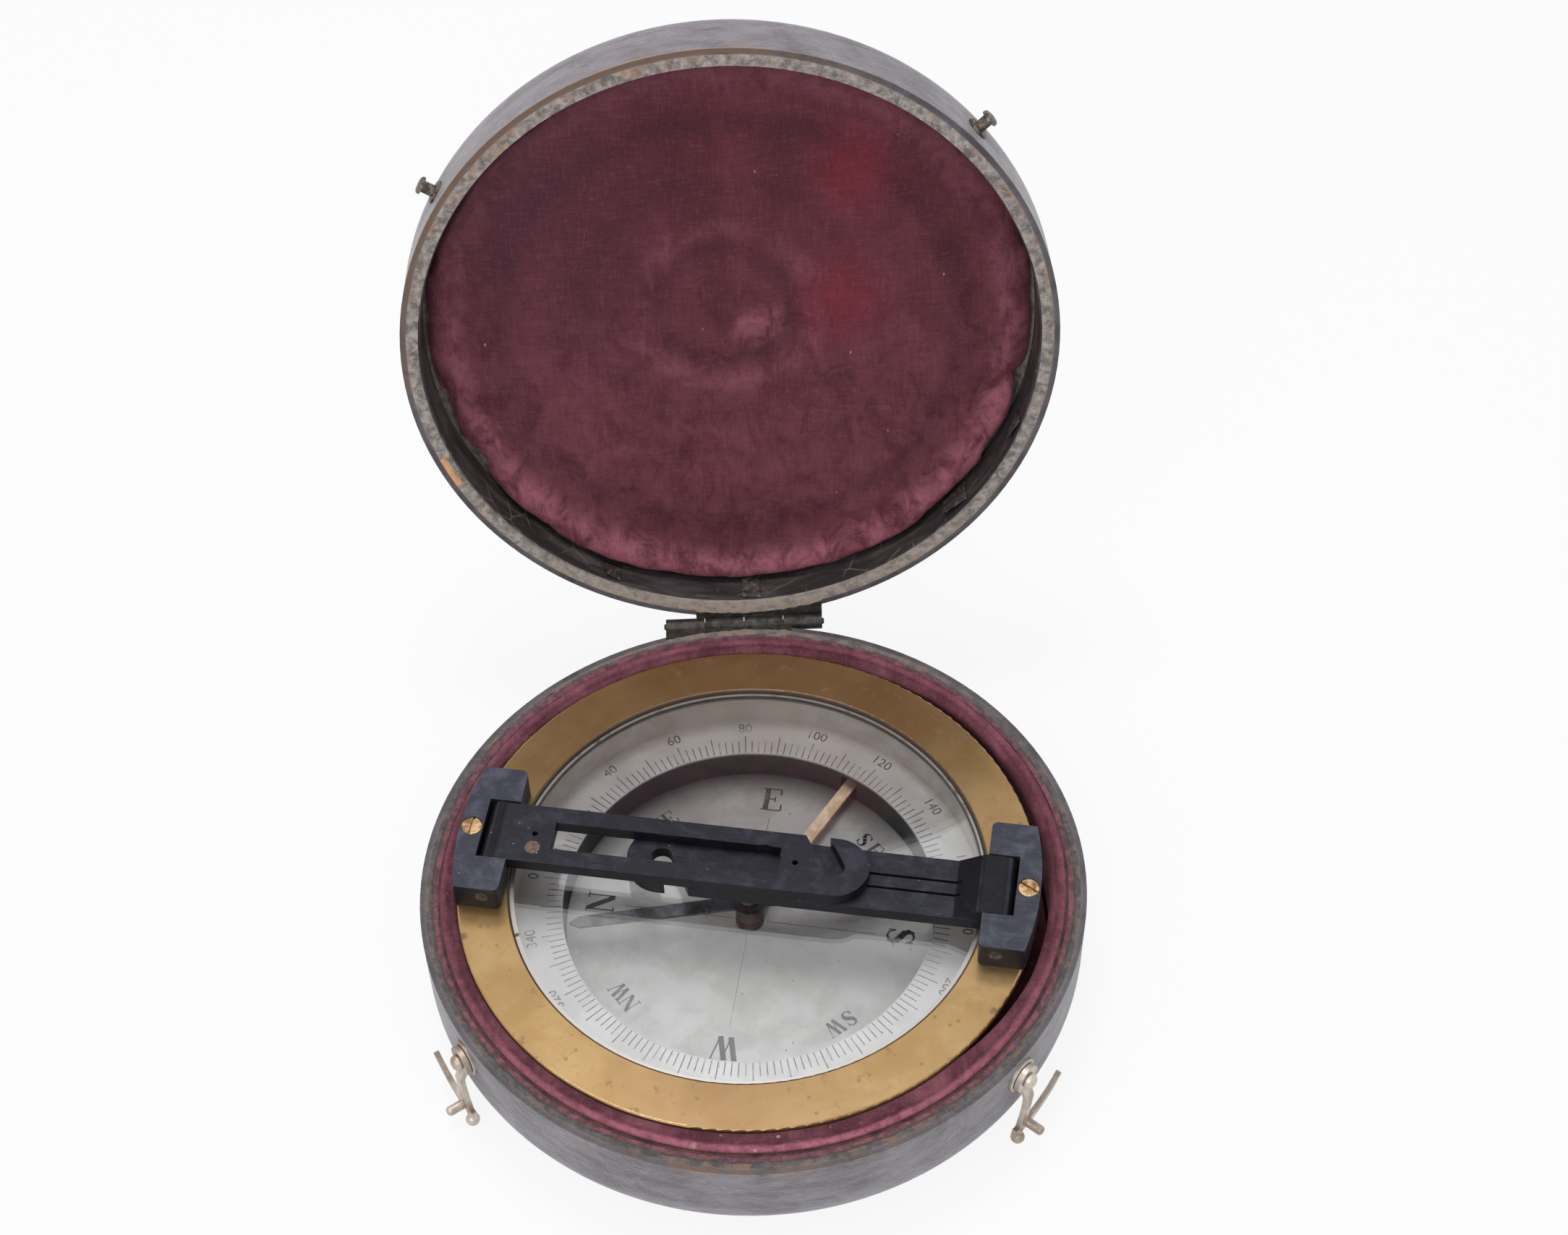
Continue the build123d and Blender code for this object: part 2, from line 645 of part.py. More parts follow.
def needle():
    """Flat bar with blunt points and a round boss."""
    shoulder = NEEDLE_HALF - NEEDLE_POINT_L
    quarter = make_face(Polyline((0, 0), (NEEDLE_HALF, 0), (shoulder, NEEDLE_END_W / 2),
                                 (0, NEEDLE_W / 2), close=True))
    half = quarter + mirror(quarter, Plane.XZ)
    bar = Pos(0, 0, needle_low()) * extrude(half + mirror(half, Plane.YZ), NEEDLE_T)
    bar += disc(NEEDLE_BOSS_R, needle_low(), needle_low() + NEEDLE_T)
    bar -= disc(COLLET_R + RUN, needle_low() - CUT, needle_low() + NEEDLE_T + CUT)
    return COMPASS * (Rot(0, 0, NEEDLE_TURN) * bar)


def needle_collet():
    """Brass collet through the needle, hollow over the point of the post."""
    low = needle_low() - RUN
    top = low + COLLET_H
    bore = needle_low() + NEEDLE_T + RUN
    collet = turned((COLLET_BORE_R, low), (COLLET_R, low), (COLLET_R, top), (0, top), (0, bore),
                    (COLLET_BORE_R, bore))
    return COMPASS * collet


def needle_jewel():
    """Dark domed jewel on the collet."""
    low = needle_low() - RUN + COLLET_H
    cap = disc(JEWEL_R, low, low + JEWEL_H)
    return COMPASS * fillet(cap.edges().group_by(Axis.Z)[-1], JEWEL_ROUND)


def in_lifter(shape):
    """Place a piece drawn along +x on the line of the lifter."""
    return Rot(0, 0, LIFTER_TURN) * shape


def lifter_top():
    return needle_low() - RUN - LIFTER_FREE


def lifter_slot():
    """Slot in the wall of the degree ring that the lifter passes through."""
    gap = LIFTER_W / 2 + LIFTER_SIDE
    return in_lifter(block((RING_IN_R - CUT, RING_IN_R + RING_WALL + CUT), (-gap, gap),
                           (DIAL_Z - CUT, RING_Z - RING_T)))


def lifter_lever():
    """Lever with a ring round the post, an arm, and a bored boss on the fulcrum."""
    z = LIFTER_Z
    low, high = z - LIFTER_T / 2, z + LIFTER_T / 2
    arm = block((0, LIFTER_ARM + LIFTER_TAIL), (-LIFTER_W / 2, LIFTER_W / 2), (low, high))
    lever = arm + disc(LIFTER_RING_R, low, lifter_top())
    lever += rod(FULCRUM_R + FULCRUM_WALL, (LIFTER_ARM, -LIFTER_W / 2, z), (LIFTER_ARM, LIFTER_W / 2, z))
    lever -= disc(LIFTER_BORE_R, low - CUT, lifter_top() + CUT)
    lever -= rod(FULCRUM_R + RUN, (LIFTER_ARM, -LIFTER_W, z), (LIFTER_ARM, LIFTER_W, z))
    return COMPASS * in_lifter(lever)


def lifter_bridge():
    """Two ears and a cross pin on the dial, under the degree ring."""
    inner = LIFTER_W / 2 + SIDE
    outer = inner + FULCRUM_EAR_T
    x = (LIFTER_ARM - FULCRUM_EAR_W / 2, LIFTER_ARM + FULCRUM_EAR_W / 2)
    foot_top = DIAL_Z + FULCRUM_FOOT_T
    bridge = block(x, (-outer, outer), (DIAL_Z, foot_top))
    for y in ((-outer, -inner), (inner, outer)):
        bridge += block(x, y, (DIAL_Z, LIFTER_Z))
        near, far = ((LIFTER_ARM, end, LIFTER_Z) for end in y)
        bridge += rod(FULCRUM_EAR_W / 2, near, far)
    bridge += rod(FULCRUM_R, (LIFTER_ARM, -outer, LIFTER_Z), (LIFTER_ARM, outer, LIFTER_Z))
    return COMPASS * in_lifter(bridge)


# Sights, drawn on the right and turned over to the left

def to_side(shape, side):
    """Put a piece drawn at the right end of the sight line on its own side."""
    if side == "left":
        shape = Rot(0, 0, 180) * shape
    return COMPASS * shape


def sight_bracket(side):
    """C-shaped block on the flange, with ears for the pin and a countersunk screw."""
    half = BRACKET_W / 2
    plan = block((FLANGE_R - EAR_IN, FLANGE_R + CUT), (-half, half), (FLANGE_TOP, BRACKET_TOP))
    plan = plan & disc(FLANGE_R, FLANGE_TOP, BRACKET_TOP)
    ears = plan.edges().filter_by(Axis.Z).group_by(Axis.X)[0]
    plan = fillet(ears, BRACKET_ROUND)
    gap = VANE_W / 2 + VANE_PLAY
    plan -= block((FLANGE_R - EAR_IN - CUT, FLANGE_R - WEB_IN), (-gap, gap), THROUGH_VANE)
    plan -= rod(SIGHT_PIN_R, (PIN_AT, -half - CUT, SIGHT_PIN_Z), (PIN_AT, half + CUT, SIGHT_PIN_Z))
    plan -= disc(SCREW_HEAD_R, BRACKET_TOP - SCREW_HEAD_H, BRACKET_TOP + CUT, SCREW_AT)
    plan -= disc(SCREW_R, FLANGE_TOP - CUT, BRACKET_TOP, SCREW_AT)
    return to_side(plan, side)


def sight_screw(side):
    """Brass cheese-head screw through the bracket into the flange."""
    low = FLANGE_TOP - FLANGE_T
    screw = disc(SCREW_R, low, BRACKET_TOP - SCREW_HEAD_H, SCREW_AT)
    head = disc(SCREW_HEAD_R, BRACKET_TOP - SCREW_HEAD_H, BRACKET_TOP, SCREW_AT)
    head = fillet(head.edges().group_by(Axis.Z)[-1], SCREW_HEAD_ROUND)
    reach = SCREW_HEAD_R + CUT
    slot = block((-reach, reach), (-SCREW_SLOT_W / 2, SCREW_SLOT_W / 2),
                 (BRACKET_TOP - SCREW_SLOT_D, BRACKET_TOP + CUT))
    head -= Pos(SCREW_AT, 0, 0) * Rot(0, 0, SCREW_TURN[side]) * slot
    return to_side(screw + head, side)


def sight_pin(side):
    """Hinge pin through both ears, its ends flush."""
    half = BRACKET_W / 2
    return to_side(rod(SIGHT_PIN_R, (PIN_AT, -half, SIGHT_PIN_Z), (PIN_AT, half, SIGHT_PIN_Z)), side)


def vane_outline():
    """Plan of a vane: parallel sides and a round head past the centre."""
    half = VANE_W / 2
    blade = block((-HEAD_AT, PIN_AT + VANE_KNUCKLE_R), (-half, half), THROUGH_VANE)
    return blade + disc(half, *THROUGH_VANE, -HEAD_AT)


def hook_slot():
    """Slanted slot in the head with a round end, open at one side."""
    half = HOOK_SLOT_W / 2
    slot = disc(half, *THROUGH_VANE) + block((-half, half), (-VANE_W, 0), THROUGH_VANE)
    return Pos(-HEAD_AT, 0, 0) * Rot(0, 0, HOOK_SLOT_TURN) * slot


def vane_knuckle():
    half = VANE_W / 2
    return rod(VANE_KNUCKLE_R, (PIN_AT, -half, SIGHT_PIN_Z), (PIN_AT, half, SIGHT_PIN_Z))


def pin_bore():
    return rod(SIGHT_PIN_R + RUN, (PIN_AT, -VANE_W, SIGHT_PIN_Z), (PIN_AT, VANE_W, SIGHT_PIN_Z))


def vane_side(points):
    """Side view of a blade, drawn as (axial, height), as wide as the vane."""
    half = VANE_W / 2
    plane = Plane(origin=(0, half, 0), x_dir=(1, 0, 0), z_dir=(0, -1, 0))
    return extrude(plane * make_face(Polyline(*points, close=True)), VANE_W)


def vane_left():
    """Upper vane, with the long window and the hair holes."""
    low, top = UPPER_TOP - VANE_T, UPPER_TOP
    blade = vane_side([(-VANE_TIP, low), (PIN_AT, low), (PIN_AT, top), (-VANE_TIP, top)])
    vane = (blade & vane_outline()) + vane_knuckle()
    vane -= window_cut() + hook_slot() + pin_bore()
    for x in (PIN_AT - HAIR_HOLE_IN, HAIR_HOLE_IN - HEAD_AT):
        vane -= disc(HAIR_HOLE_R, *THROUGH_VANE, x)
    vane -= disc(PLUG_R, *THROUGH_VANE, PIN_AT - PLUG_IN, PLUG_SIDE)
    return to_side(vane, "left")


def window_cut():
    """Long window, square at the root and slightly bulged at the head."""
    half = WINDOW_W / 2
    end = WINDOW_STOP - HEAD_AT
    long_cut = block((end, PIN_AT - WINDOW_IN), (-half, half), THROUGH_VANE)
    return long_cut + disc(WINDOW_BULGE / 2, *THROUGH_VANE, end + half)


def vane_rivet():
    """Copper plug let into the root of the upper vane."""
    copper = disc(PLUG_R, UPPER_TOP - VANE_T, UPPER_TOP, PIN_AT - PLUG_IN, PLUG_SIDE)
    return to_side(copper, "left")


def vane_right():
    """Lower vane, stepped down at the root, with two fine sight slits."""
    low, top = LOWER_TOP - VANE_T, LOWER_TOP
    root_low, root_top = SIGHT_PIN_Z - VANE_ROOT_DROP, SIGHT_PIN_Z + VANE_KNUCKLE_R
    step = PIN_AT - JOGGLE_IN
    blade = vane_side([(-VANE_TIP, low), (step, low), (PIN_AT, root_low), (PIN_AT, root_top),
                       (step, root_top), (step - JOGGLE_L, top), (-VANE_TIP, top)])
    vane = (blade & vane_outline()) + vane_knuckle()
    vane -= hook_slot() + pin_bore()
    edge = (TRACK_W - TRACK_SLIT_W) / 2
    for y in (-edge, edge):
        vane -= block((PIN_AT - TRACK_IN - TRACK_L, PIN_AT - TRACK_IN),
                      (y - TRACK_SLIT_W / 2, y + TRACK_SLIT_W / 2), (top - TRACK_DEPTH, top + VANE_T))
    return to_side(vane, "right")


def both(maker):
    """The same piece on the left and on the right, as one group."""
    return Compound(children=[maker(side) for side in SIDES])


PIECES = {
    "base_core": base_core,
    "base_leather": base_leather,
    "base_foot": base_foot,
    "base_bed": base_bed,
    "base_collar": base_collar,
    "collar_velvet": collar_velvet,
    "hinge_base_leaf": hinge_base_leaf,
    "hinge_pin": hinge_pin,
    "hook_plates": lambda: both(hook_plate),
    "hook_rivets": lambda: both(hook_rivet),
    "lid_core": lid_core,
    "lid_leather": lid_leather,
    "lid_strip": lid_strip,
    "lid_pad": lid_pad,
    "hinge_lid_leaf": hinge_lid_leaf,
    "lid_studs": lambda: both(lid_stud),
    "hook_left": lambda: side_hook("left"),
    "hook_right": lambda: side_hook("right"),
    "compass_flange": compass_flange,
    "compass_bowl": compass_bowl,
    "dial_floor": dial_floor,
    "degree_ring": degree_ring,
    "glass": glass,
    "bezel_ring": bezel_ring,
    "pivot_post": pivot_post,
    "lifter_bridge": lifter_bridge,
    "lifter_lever": lifter_lever,
    "needle": needle,
    "needle_collet": needle_collet,
    "needle_jewel": needle_jewel,
    "bracket_left": lambda: sight_bracket("left"),
    "bracket_right": lambda: sight_bracket("right"),
    "bracket_screws": lambda: both(sight_screw),
    "sight_pins": lambda: both(sight_pin),
    "vane_left": vane_left,
    "vane_rivet": vane_rivet,
    "vane_right": vane_right,
}

os.makedirs("parts", exist_ok=True)
for name, make in PIECES.items():
    export_step(make(), f"parts/{name}.step")
print("hook hangs", round(hook_hang(hook_blank()), 2), "degrees off its shank")
print("ball above the floor", round(PIVOT_Z - BALL_AT - BALL_R, 2))
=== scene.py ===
"""Looks of a round leather-covered compass case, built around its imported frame.

Lengths are in millimetres in the frame of each sub-assembly and become metres as a
piece is placed. Colours are written as the eye reads them, from 0 to 255.
"""

import logging
import math
from dataclasses import dataclass
from enum import Enum
from typing import Callable, Optional, Sequence, Union

import bmesh
import bpy
from mathutils import Euler, Matrix, Vector, noise


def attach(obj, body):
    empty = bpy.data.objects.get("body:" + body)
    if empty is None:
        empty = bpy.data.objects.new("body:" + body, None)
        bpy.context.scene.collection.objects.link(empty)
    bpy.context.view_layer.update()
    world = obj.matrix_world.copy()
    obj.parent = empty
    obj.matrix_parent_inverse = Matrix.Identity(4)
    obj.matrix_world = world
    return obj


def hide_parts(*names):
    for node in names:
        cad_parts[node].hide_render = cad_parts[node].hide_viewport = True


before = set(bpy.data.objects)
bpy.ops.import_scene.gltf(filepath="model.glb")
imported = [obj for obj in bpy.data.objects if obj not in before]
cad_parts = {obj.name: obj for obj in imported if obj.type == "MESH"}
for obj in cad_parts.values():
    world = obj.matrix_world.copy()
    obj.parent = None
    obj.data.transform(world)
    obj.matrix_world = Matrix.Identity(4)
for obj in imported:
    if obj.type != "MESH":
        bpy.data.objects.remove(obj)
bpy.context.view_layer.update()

MM = 0.001
REPORT = logging.getLogger("compass_case")

Triple = tuple[float, float, float]
Point2 = tuple[float, float]
Colour = tuple[float, float, float, float]
Socket = bpy.types.NodeSocket
Material = bpy.types.Material
Object = bpy.types.Object


def shade(red: float, green: float, blue: float) -> Colour:
    """Linear colour of a screen colour from 0 to 255."""
    def linear(part: float) -> float:
        part /= 255
        return part / 12.92 if part <= 0.04045 else ((part + 0.055) / 1.055) ** 2.4
    return (linear(red), linear(green), linear(blue), 1.0)


def share(value: float) -> float:
    """A number held between 0 and 1."""
    return max(0.0, min(1.0, value))


@dataclass(frozen=True)
class Place:
    """Where the millimetre frame of a sub-assembly lies, with its turns in degrees."""

    origin: Triple = (0.0, 0.0, 0.0)
    turn: Triple = (0.0, 0.0, 0.0)

    def matrix(self) -> Matrix:
        """Matrix from this frame's millimetres to metres in the row frame."""
        turned = Euler([math.radians(a) for a in self.turn]).to_matrix().to_4x4()
        return Matrix.Translation(Vector(self.origin) * MM) @ turned @ Matrix.Scale(MM, 4)


@dataclass(frozen=True)
class CaseSizes:
    """Sizes of the case that place its lid and its compass."""

    rim: float = 18.4
    open_angle: float = 101.65
    hinge_y: float = 51.2
    hinge_z: float = 17.75
    shut_z: float = 18.45
    compass_x: float = -0.75
    compass_y: float = 0.25
    compass_turn: float = -10.8

    def lid_place(self) -> Place:
        """Frame of the open lid, at the centre of its rim with the crown towards +Z."""
        angle = math.radians(-self.open_angle)
        y, z = -self.hinge_y, self.shut_z - self.hinge_z
        origin = (0.0, self.hinge_y + y * math.cos(angle) - z * math.sin(angle),
                  self.hinge_z + y * math.sin(angle) + z * math.cos(angle))
        return Place(origin, (-self.open_angle, 0.0, 0.0))


CASE = CaseSizes()
AT_RIM = Place((0.0, 0.0, CASE.rim))
AT_LID = CASE.lid_place()
AT_COMPASS = Place((CASE.compass_x, CASE.compass_y, CASE.rim), (0.0, 0.0, CASE.compass_turn))


class Slot(Enum):
    """Material slots of the record, passed along with new pieces."""

    VELVET = "velvet"
    STRIP = "strip"
    SILVERED = "silvered_brass"


# Node trees

class Value:
    """A number that runs through a node tree, on which Python's operators work."""

    def __init__(self, recipe: "Recipe", socket: Socket) -> None:
        """Keep the tree and the socket that carries the number."""
        self.recipe = recipe
        self.socket = socket

    def __add__(self, other: "Number") -> "Value":
        """Sum."""
        return self.recipe.math("ADD", self, other)

    __radd__ = __add__

    def __sub__(self, other: "Number") -> "Value":
        """Difference."""
        return self.recipe.math("SUBTRACT", self, other)

    def __rsub__(self, other: "Number") -> "Value":
        """Difference from a plain number."""
        return self.recipe.math("SUBTRACT", other, self)

    def __mul__(self, other: "Number") -> "Value":
        """Product."""
        return self.recipe.math("MULTIPLY", self, other)

    __rmul__ = __mul__

    def __abs__(self) -> "Value":
        """Size without sign."""
        return self.recipe.math("ABSOLUTE", self)

    def least(self, other: "Number") -> "Value":
        """The smaller of two."""
        return self.recipe.math("MINIMUM", self, other)

    def most(self, other: "Number") -> "Value":
        """The larger of two."""
        return self.recipe.math("MAXIMUM", self, other)

    def rise(self, low: float, high: float) -> "Value":
        """Smooth step from 0 at low to 1 at high, or falling where low is the larger."""
        made = self.recipe.node("ShaderNodeMapRange", {"interpolation_type": "SMOOTHSTEP"},
                                {"Value": self, "From Min": low, "From Max": high})
        return Value(self.recipe, made.outputs["Result"])

    def hump(self, middle: float, width: float) -> "Value":
        """1 at the middle, 0 further than the width from it."""
        return abs(self - middle).rise(width, 0.0)


Number = Union[float, Value]
Link = Union[float, Colour, Triple, Value, Socket]


class Recipe:
    """The node tree of one finish or of the world."""

    def __init__(self, owner: Union[Material, bpy.types.World]) -> None:
        """Start with an empty tree."""
        owner.use_nodes = True
        self.tree = owner.node_tree
        self.tree.nodes.clear()

    def node(self, kind: str, settings: Optional[dict] = None,
             inputs: Optional[dict] = None) -> bpy.types.Node:
        """Add a node.

        Args:
            kind: type of the node.
            settings: attributes that are set first.
            inputs: values or links of sockets, by name or number.

        Returns:
            The new node.
        """
        made = self.tree.nodes.new(kind)
        for key, value in (settings or {}).items():
            setattr(made, key, value)
        for key, value in (inputs or {}).items():
            self.feed(made.inputs[key], value)
        return made

    def feed(self, socket: Socket, value: Link) -> None:
        """Set or link one socket."""
        if isinstance(value, Value):
            value = value.socket
        if isinstance(value, Socket):
            self.tree.links.new(value, socket)
        else:
            socket.default_value = value

    def math(self, operation: str, *values: Number) -> Value:
        """Number made by one Math node."""
        made = self.node("ShaderNodeMath", {"operation": operation}, dict(enumerate(values)))
        return Value(self, made.outputs[0])

    def local(self, place: Place) -> Socket:
        """Object coordinates in the millimetres of a sub-assembly's frame."""
        coordinates = self.node("ShaderNodeTexCoord")
        made = self.node("ShaderNodeMapping", {"vector_type": "TEXTURE"}, {
            "Vector": coordinates.outputs["Object"],
            "Location": tuple(part * MM for part in place.origin),
            "Rotation": tuple(math.radians(a) for a in place.turn),
            "Scale": (MM, MM, MM)})
        return made.outputs[0]

    def stretch(self, vector: Socket, scale: Triple) -> Socket:
        """The same coordinates, scaled along each axis."""
        made = self.node("ShaderNodeVectorMath", {"operation": "MULTIPLY_ADD"},
                         {0: vector, 1: scale, 2: (0, 0, 0)})
        return made.outputs[0]

    def axes(self, vector: Socket) -> tuple[Value, Value, Value]:
        """The three coordinates of a vector."""
        made = self.node("ShaderNodeSeparateXYZ", None, {0: vector})
        return tuple(Value(self, socket) for socket in made.outputs)

    def vector(self, x: Number, y: Number, z: Number) -> Socket:
        """A vector of three numbers."""
        return self.node("ShaderNodeCombineXYZ", None, {0: x, 1: y, 2: z}).outputs[0]

    def round_coordinates(self, vector: Socket) -> tuple[Value, Value, Value]:
        """Radius, angle in radians and height."""
        x, y, z = self.axes(vector)
        return self.math("SQRT", x * x + y * y), self.math("ARCTAN2", y, x), z

    def distance(self, x: Number, y: Number) -> Value:
        """Length of a flat vector."""
        return self.round_coordinates(self.vector(x, y, 0.0))[0]

    def near_angle(self, angle: Value, degrees: float, width: float) -> Value:
        """1 at an angle, 0 further than a width in degrees from it."""
        turned = self.math("WRAP", angle - math.radians(degrees), math.pi, -math.pi)
        return abs(turned).rise(math.radians(width), 0.0)

    def cloud(self, vector: Socket, size: float, detail: float = 3.0, roughness: float = 0.55,
              bend: float = 0.0) -> Value:
        """Soft noise with spots of about a size, 0.5 on average."""
        made = self.node("ShaderNodeTexNoise", None, {
            "Vector": vector, "Scale": 1.0 / size, "Detail": detail, "Roughness": roughness,
            "Distortion": bend})
        return Value(self, made.outputs[0])

    def cells(self, vector: Socket, size: float, feature: str = "F1") -> Value:
        """Distance in a pattern of cells of about a size."""
        made = self.node("ShaderNodeTexVoronoi", {"feature": feature},
                         {"Vector": vector, "Scale": 1.0 / size})
        return Value(self, made.outputs["Distance"])

    def mix(self, factor: Number, first: Link, second: Link) -> Socket:
        """Blend of two colours."""
        return self.node("ShaderNodeMix", {"data_type": "RGBA"}, {0: factor, 6: first, 7: second}).outputs[2]

    def bump(self, height: Number, depth: float, before: Optional[Socket] = None) -> Socket:
        """Normal of a relief whose full height is a depth in millimetres."""
        inputs: dict = {"Height": height, "Distance": depth * MM, "Strength": 1.0}
        if before is not None:
            inputs["Normal"] = before
        return self.node("ShaderNodeBump", None, inputs).outputs[0]

    def principled(self, **sockets: Link) -> Socket:
        """Principled shader with the named sockets, where an underscore stands for a space."""
        inputs = {key.replace("_", " "): value for key, value in sockets.items()}
        return self.node("ShaderNodeBsdfPrincipled", None, inputs).outputs[0]

    def blend(self, factor: Number, first: Socket, second: Socket) -> Socket:
        """Blend of two shaders."""
        return self.node("ShaderNodeMixShader", None, {0: factor, 1: first, 2: second}).outputs[0]

    def most_ray(self, *kinds: str) -> Value:
        """1 for light rays of any of some kinds, 0 for the rest."""
        outputs = self.node("ShaderNodeLightPath").outputs
        found = Value(self, outputs[kinds[0]])
        for kind in kinds[1:]:
            found = found.most(Value(self, outputs[kind]))
        return found

    def directly_seen(self) -> Value:
        """1 for what the camera sees itself, in gloss or through glass."""
        return self.most_ray("Is Camera Ray", "Is Glossy Ray", "Is Transmission Ray")


# Finishes

class Finish:
    """A surface that becomes a material in the frame of a sub-assembly."""

    def make(self, name: str, place: Place) -> Material:
        """Make the material.

        Args:
            name: name of the material.
            place: frame in which the patterns lie.

        Returns:
            The material.
        """
        material = bpy.data.materials.new(name)
        r = Recipe(material)
        surface = self.surface(r, r.local(place))
        r.node("ShaderNodeOutputMaterial", None, {"Surface": surface})
        return material

    def surface(self, r: Recipe, point: Socket) -> Socket:
        """Shader at a point of the frame."""
        raise NotImplementedError


@dataclass(frozen=True)
class WornLeather(Finish):
    """Black leather gone grey, scuffed along the grain and worn tan at its edges."""

    dark: Colour = shade(78, 72, 80)
    grey: Colour = shade(134, 128, 137)
    scuff: Colour = shade(140, 116, 104)
    tan: Colour = shade(166, 130, 104)
    edge_height: float = -17.0
    lip_at: float = -94.0
    lip_width: float = 60.0
    lip_share: float = 0.42

    def surface(self, r: Recipe, point: Socket) -> Socket:
        """Shader in a frame whose height 0 is the rim."""
        radius, angle, height = r.round_coordinates(point)
        streaks = r.cloud(r.stretch(point, (0.3, 0.3, 1.2)), 2.4, 6.0, 0.65, 0.4)
        patches = r.cloud(point, 8.0, 5.0, 0.62, 0.6)
        cover = (streaks * 0.5 + patches * 0.5).rise(0.33, 0.64)
        colour = r.mix(cover, self.dark, self.grey)
        fine = r.cloud(r.stretch(point, (0.35, 0.35, 1.4)), 1.3, 6.0, 0.7)
        colour = r.mix(fine.rise(0.6, 0.74) * 0.4, colour, self.scuff)
        bruise = r.cloud(point, 5.0, 5.0, 0.66, 0.8)
        handled = r.near_angle(angle, self.lip_at, self.lip_width) * abs(height).rise(9.0, 1.0)
        rubbed = r.cloud(r.stretch(point, (0.5, 0.5, 1.0)), 2.2, 6.0, 0.7).rise(0.48, 0.64)
        colour = r.mix(handled * rubbed * 0.6, colour, shade(128, 100, 88))
        colour = r.mix(bruise.rise(0.56, 0.7) * 0.45, colour, shade(112, 96, 108))
        colour = r.mix(bruise.rise(0.42, 0.32) * 0.4, colour, shade(150, 147, 152))
        nicks = r.cloud(r.stretch(point, (1.0, 1.0, 0.6)), 0.9, 4.0, 0.7).rise(0.66, 0.74)
        colour = r.mix(nicks * 0.55, colour, shade(184, 174, 170))
        ragged = height + 1.4 * (r.cloud(r.stretch(point, (0.4, 0.4, 1.0)), 2.2, 5.0, 0.7) - 0.5)
        lip = abs(ragged).rise(0.7, 0.2) * radius.rise(48.7, 49.5)
        strong = self.lip_share * (0.2 + 0.8 * r.near_angle(angle, self.lip_at, self.lip_width))
        worn = (lip * strong + 1.2 * (r.cloud(point, 3.4, 5.0, 0.65) - 0.5)).rise(0.25, 0.5) * lip
        colour = r.mix(worn * 0.85, colour, self.tan)
        # Painted shade: a thin dark line along the rim's edge stands for the shaded crack between lid and
        # base.
        seam = abs(height).rise(0.26, 0.1) * radius.rise(48.7, 49.5)
        colour = r.mix(seam * 0.6, colour, shade(36, 31, 32))
        foot = abs(height - self.edge_height).rise(4.0, 0.0) * r.cloud(point, 2.6, 5.0, 0.7).rise(0.5, 0.66)
        colour = r.mix(foot * 0.65, colour, shade(140, 108, 88))
        relief = r.bump(r.cloud(point, 1.5, 5.0, 0.6), 0.2, r.bump(r.cells(point, 0.6), 0.06))
        return r.principled(Base_Color=colour, Roughness=0.4 + 0.2 * patches + 0.12 * worn, Normal=relief,
                            Sheen_Weight=0.3, Sheen_Roughness=0.5)


@dataclass(frozen=True)
class WornRim(Finish):
    """Leather turned over the rim, rubbed to grey and tan, with bare wood in one spot."""

    grey: Colour = shade(106, 100, 96)
    dark: Colour = shade(66, 61, 61)
    pale: Colour = shade(182, 169, 156)
    tan: Colour = shade(146, 112, 92)
    wood: Colour = shade(232, 170, 112)
    tan_at: float = -92.0
    pale_at: float = 90.0
    pale_share: float = 0.5
    bare_at: Optional[float] = None
    velvet_to: Optional[float] = None

    def surface(self, r: Recipe, point: Socket) -> Socket:
        """Shader in a frame whose height 0 is the rim, also for the hinge leaves under the leather."""
        radius, angle, _ = r.round_coordinates(point)
        blots = r.cloud(point, 1.5, 6.0, 0.68, 0.4)
        colour = r.mix(blots.rise(0.34, 0.68), self.dark, self.grey)
        spots = r.cloud(point, 2.4, 5.0, 0.65).rise(0.38, 0.58)
        pale = r.near_angle(angle, self.pale_at, 70.0) * (0.4 + 0.6 * spots)
        colour = r.mix(pale * self.pale_share, colour, self.pale)
        tan = r.near_angle(angle, self.tan_at, 48.0) * r.cloud(point, 3.4, 5.0, 0.65).rise(0.5, 0.6)
        outer = radius.rise(48.3, 49.1) * r.cloud(point, 2.4, 4.0, 0.6).rise(0.48, 0.6)
        colour = r.mix(r.cloud(point, 3.2, 5.0, 0.68).rise(0.56, 0.66) * 0.5, colour, self.dark)
        colour = r.mix((tan * 0.75).most(outer * 0.62), colour, self.tan)
        if self.bare_at is not None:
            bare = (r.near_angle(angle, self.bare_at, 6.0) + r.cloud(point, 1.6, 4.0) - 0.5).rise(0.3, 0.7)
            colour = r.mix(bare * radius.rise(47.6, 48.8), colour, self.wood)
        if self.velvet_to is not None:
            ragged = radius + 1.0 * (r.cloud(point, 2.8, 5.0, 0.65) - 0.5)
            ragged = ragged - 0.4 * r.near_angle(angle, 130.0, 50.0)
            # Painted shade: a dark line on the rim just outside the velvet stands for the shaded gap between
            # velvet and rim.
            seam = ragged.hump(self.velvet_to + 0.16, 0.34) * r.cloud(point, 3.4, 5.0).rise(0.36, 0.56)
            colour = r.mix(seam * 0.8, colour, shade(38, 30, 32))
            nap = r.mix(r.cloud(point, 1.6, 5.0, 0.65).rise(0.36, 0.66),
                        shade(78, 40, 50), shade(138, 78, 94))
            colour = r.mix(ragged.rise(self.velvet_to + 0.08, self.velvet_to - 0.08), colour, nap)
        relief = r.bump(blots, 0.35, r.bump(r.cloud(point, 0.6, 3.0), 0.14))
        return r.principled(Base_Color=colour, Roughness=0.7 - 0.12 * blots, Normal=relief, Sheen_Weight=0.2)


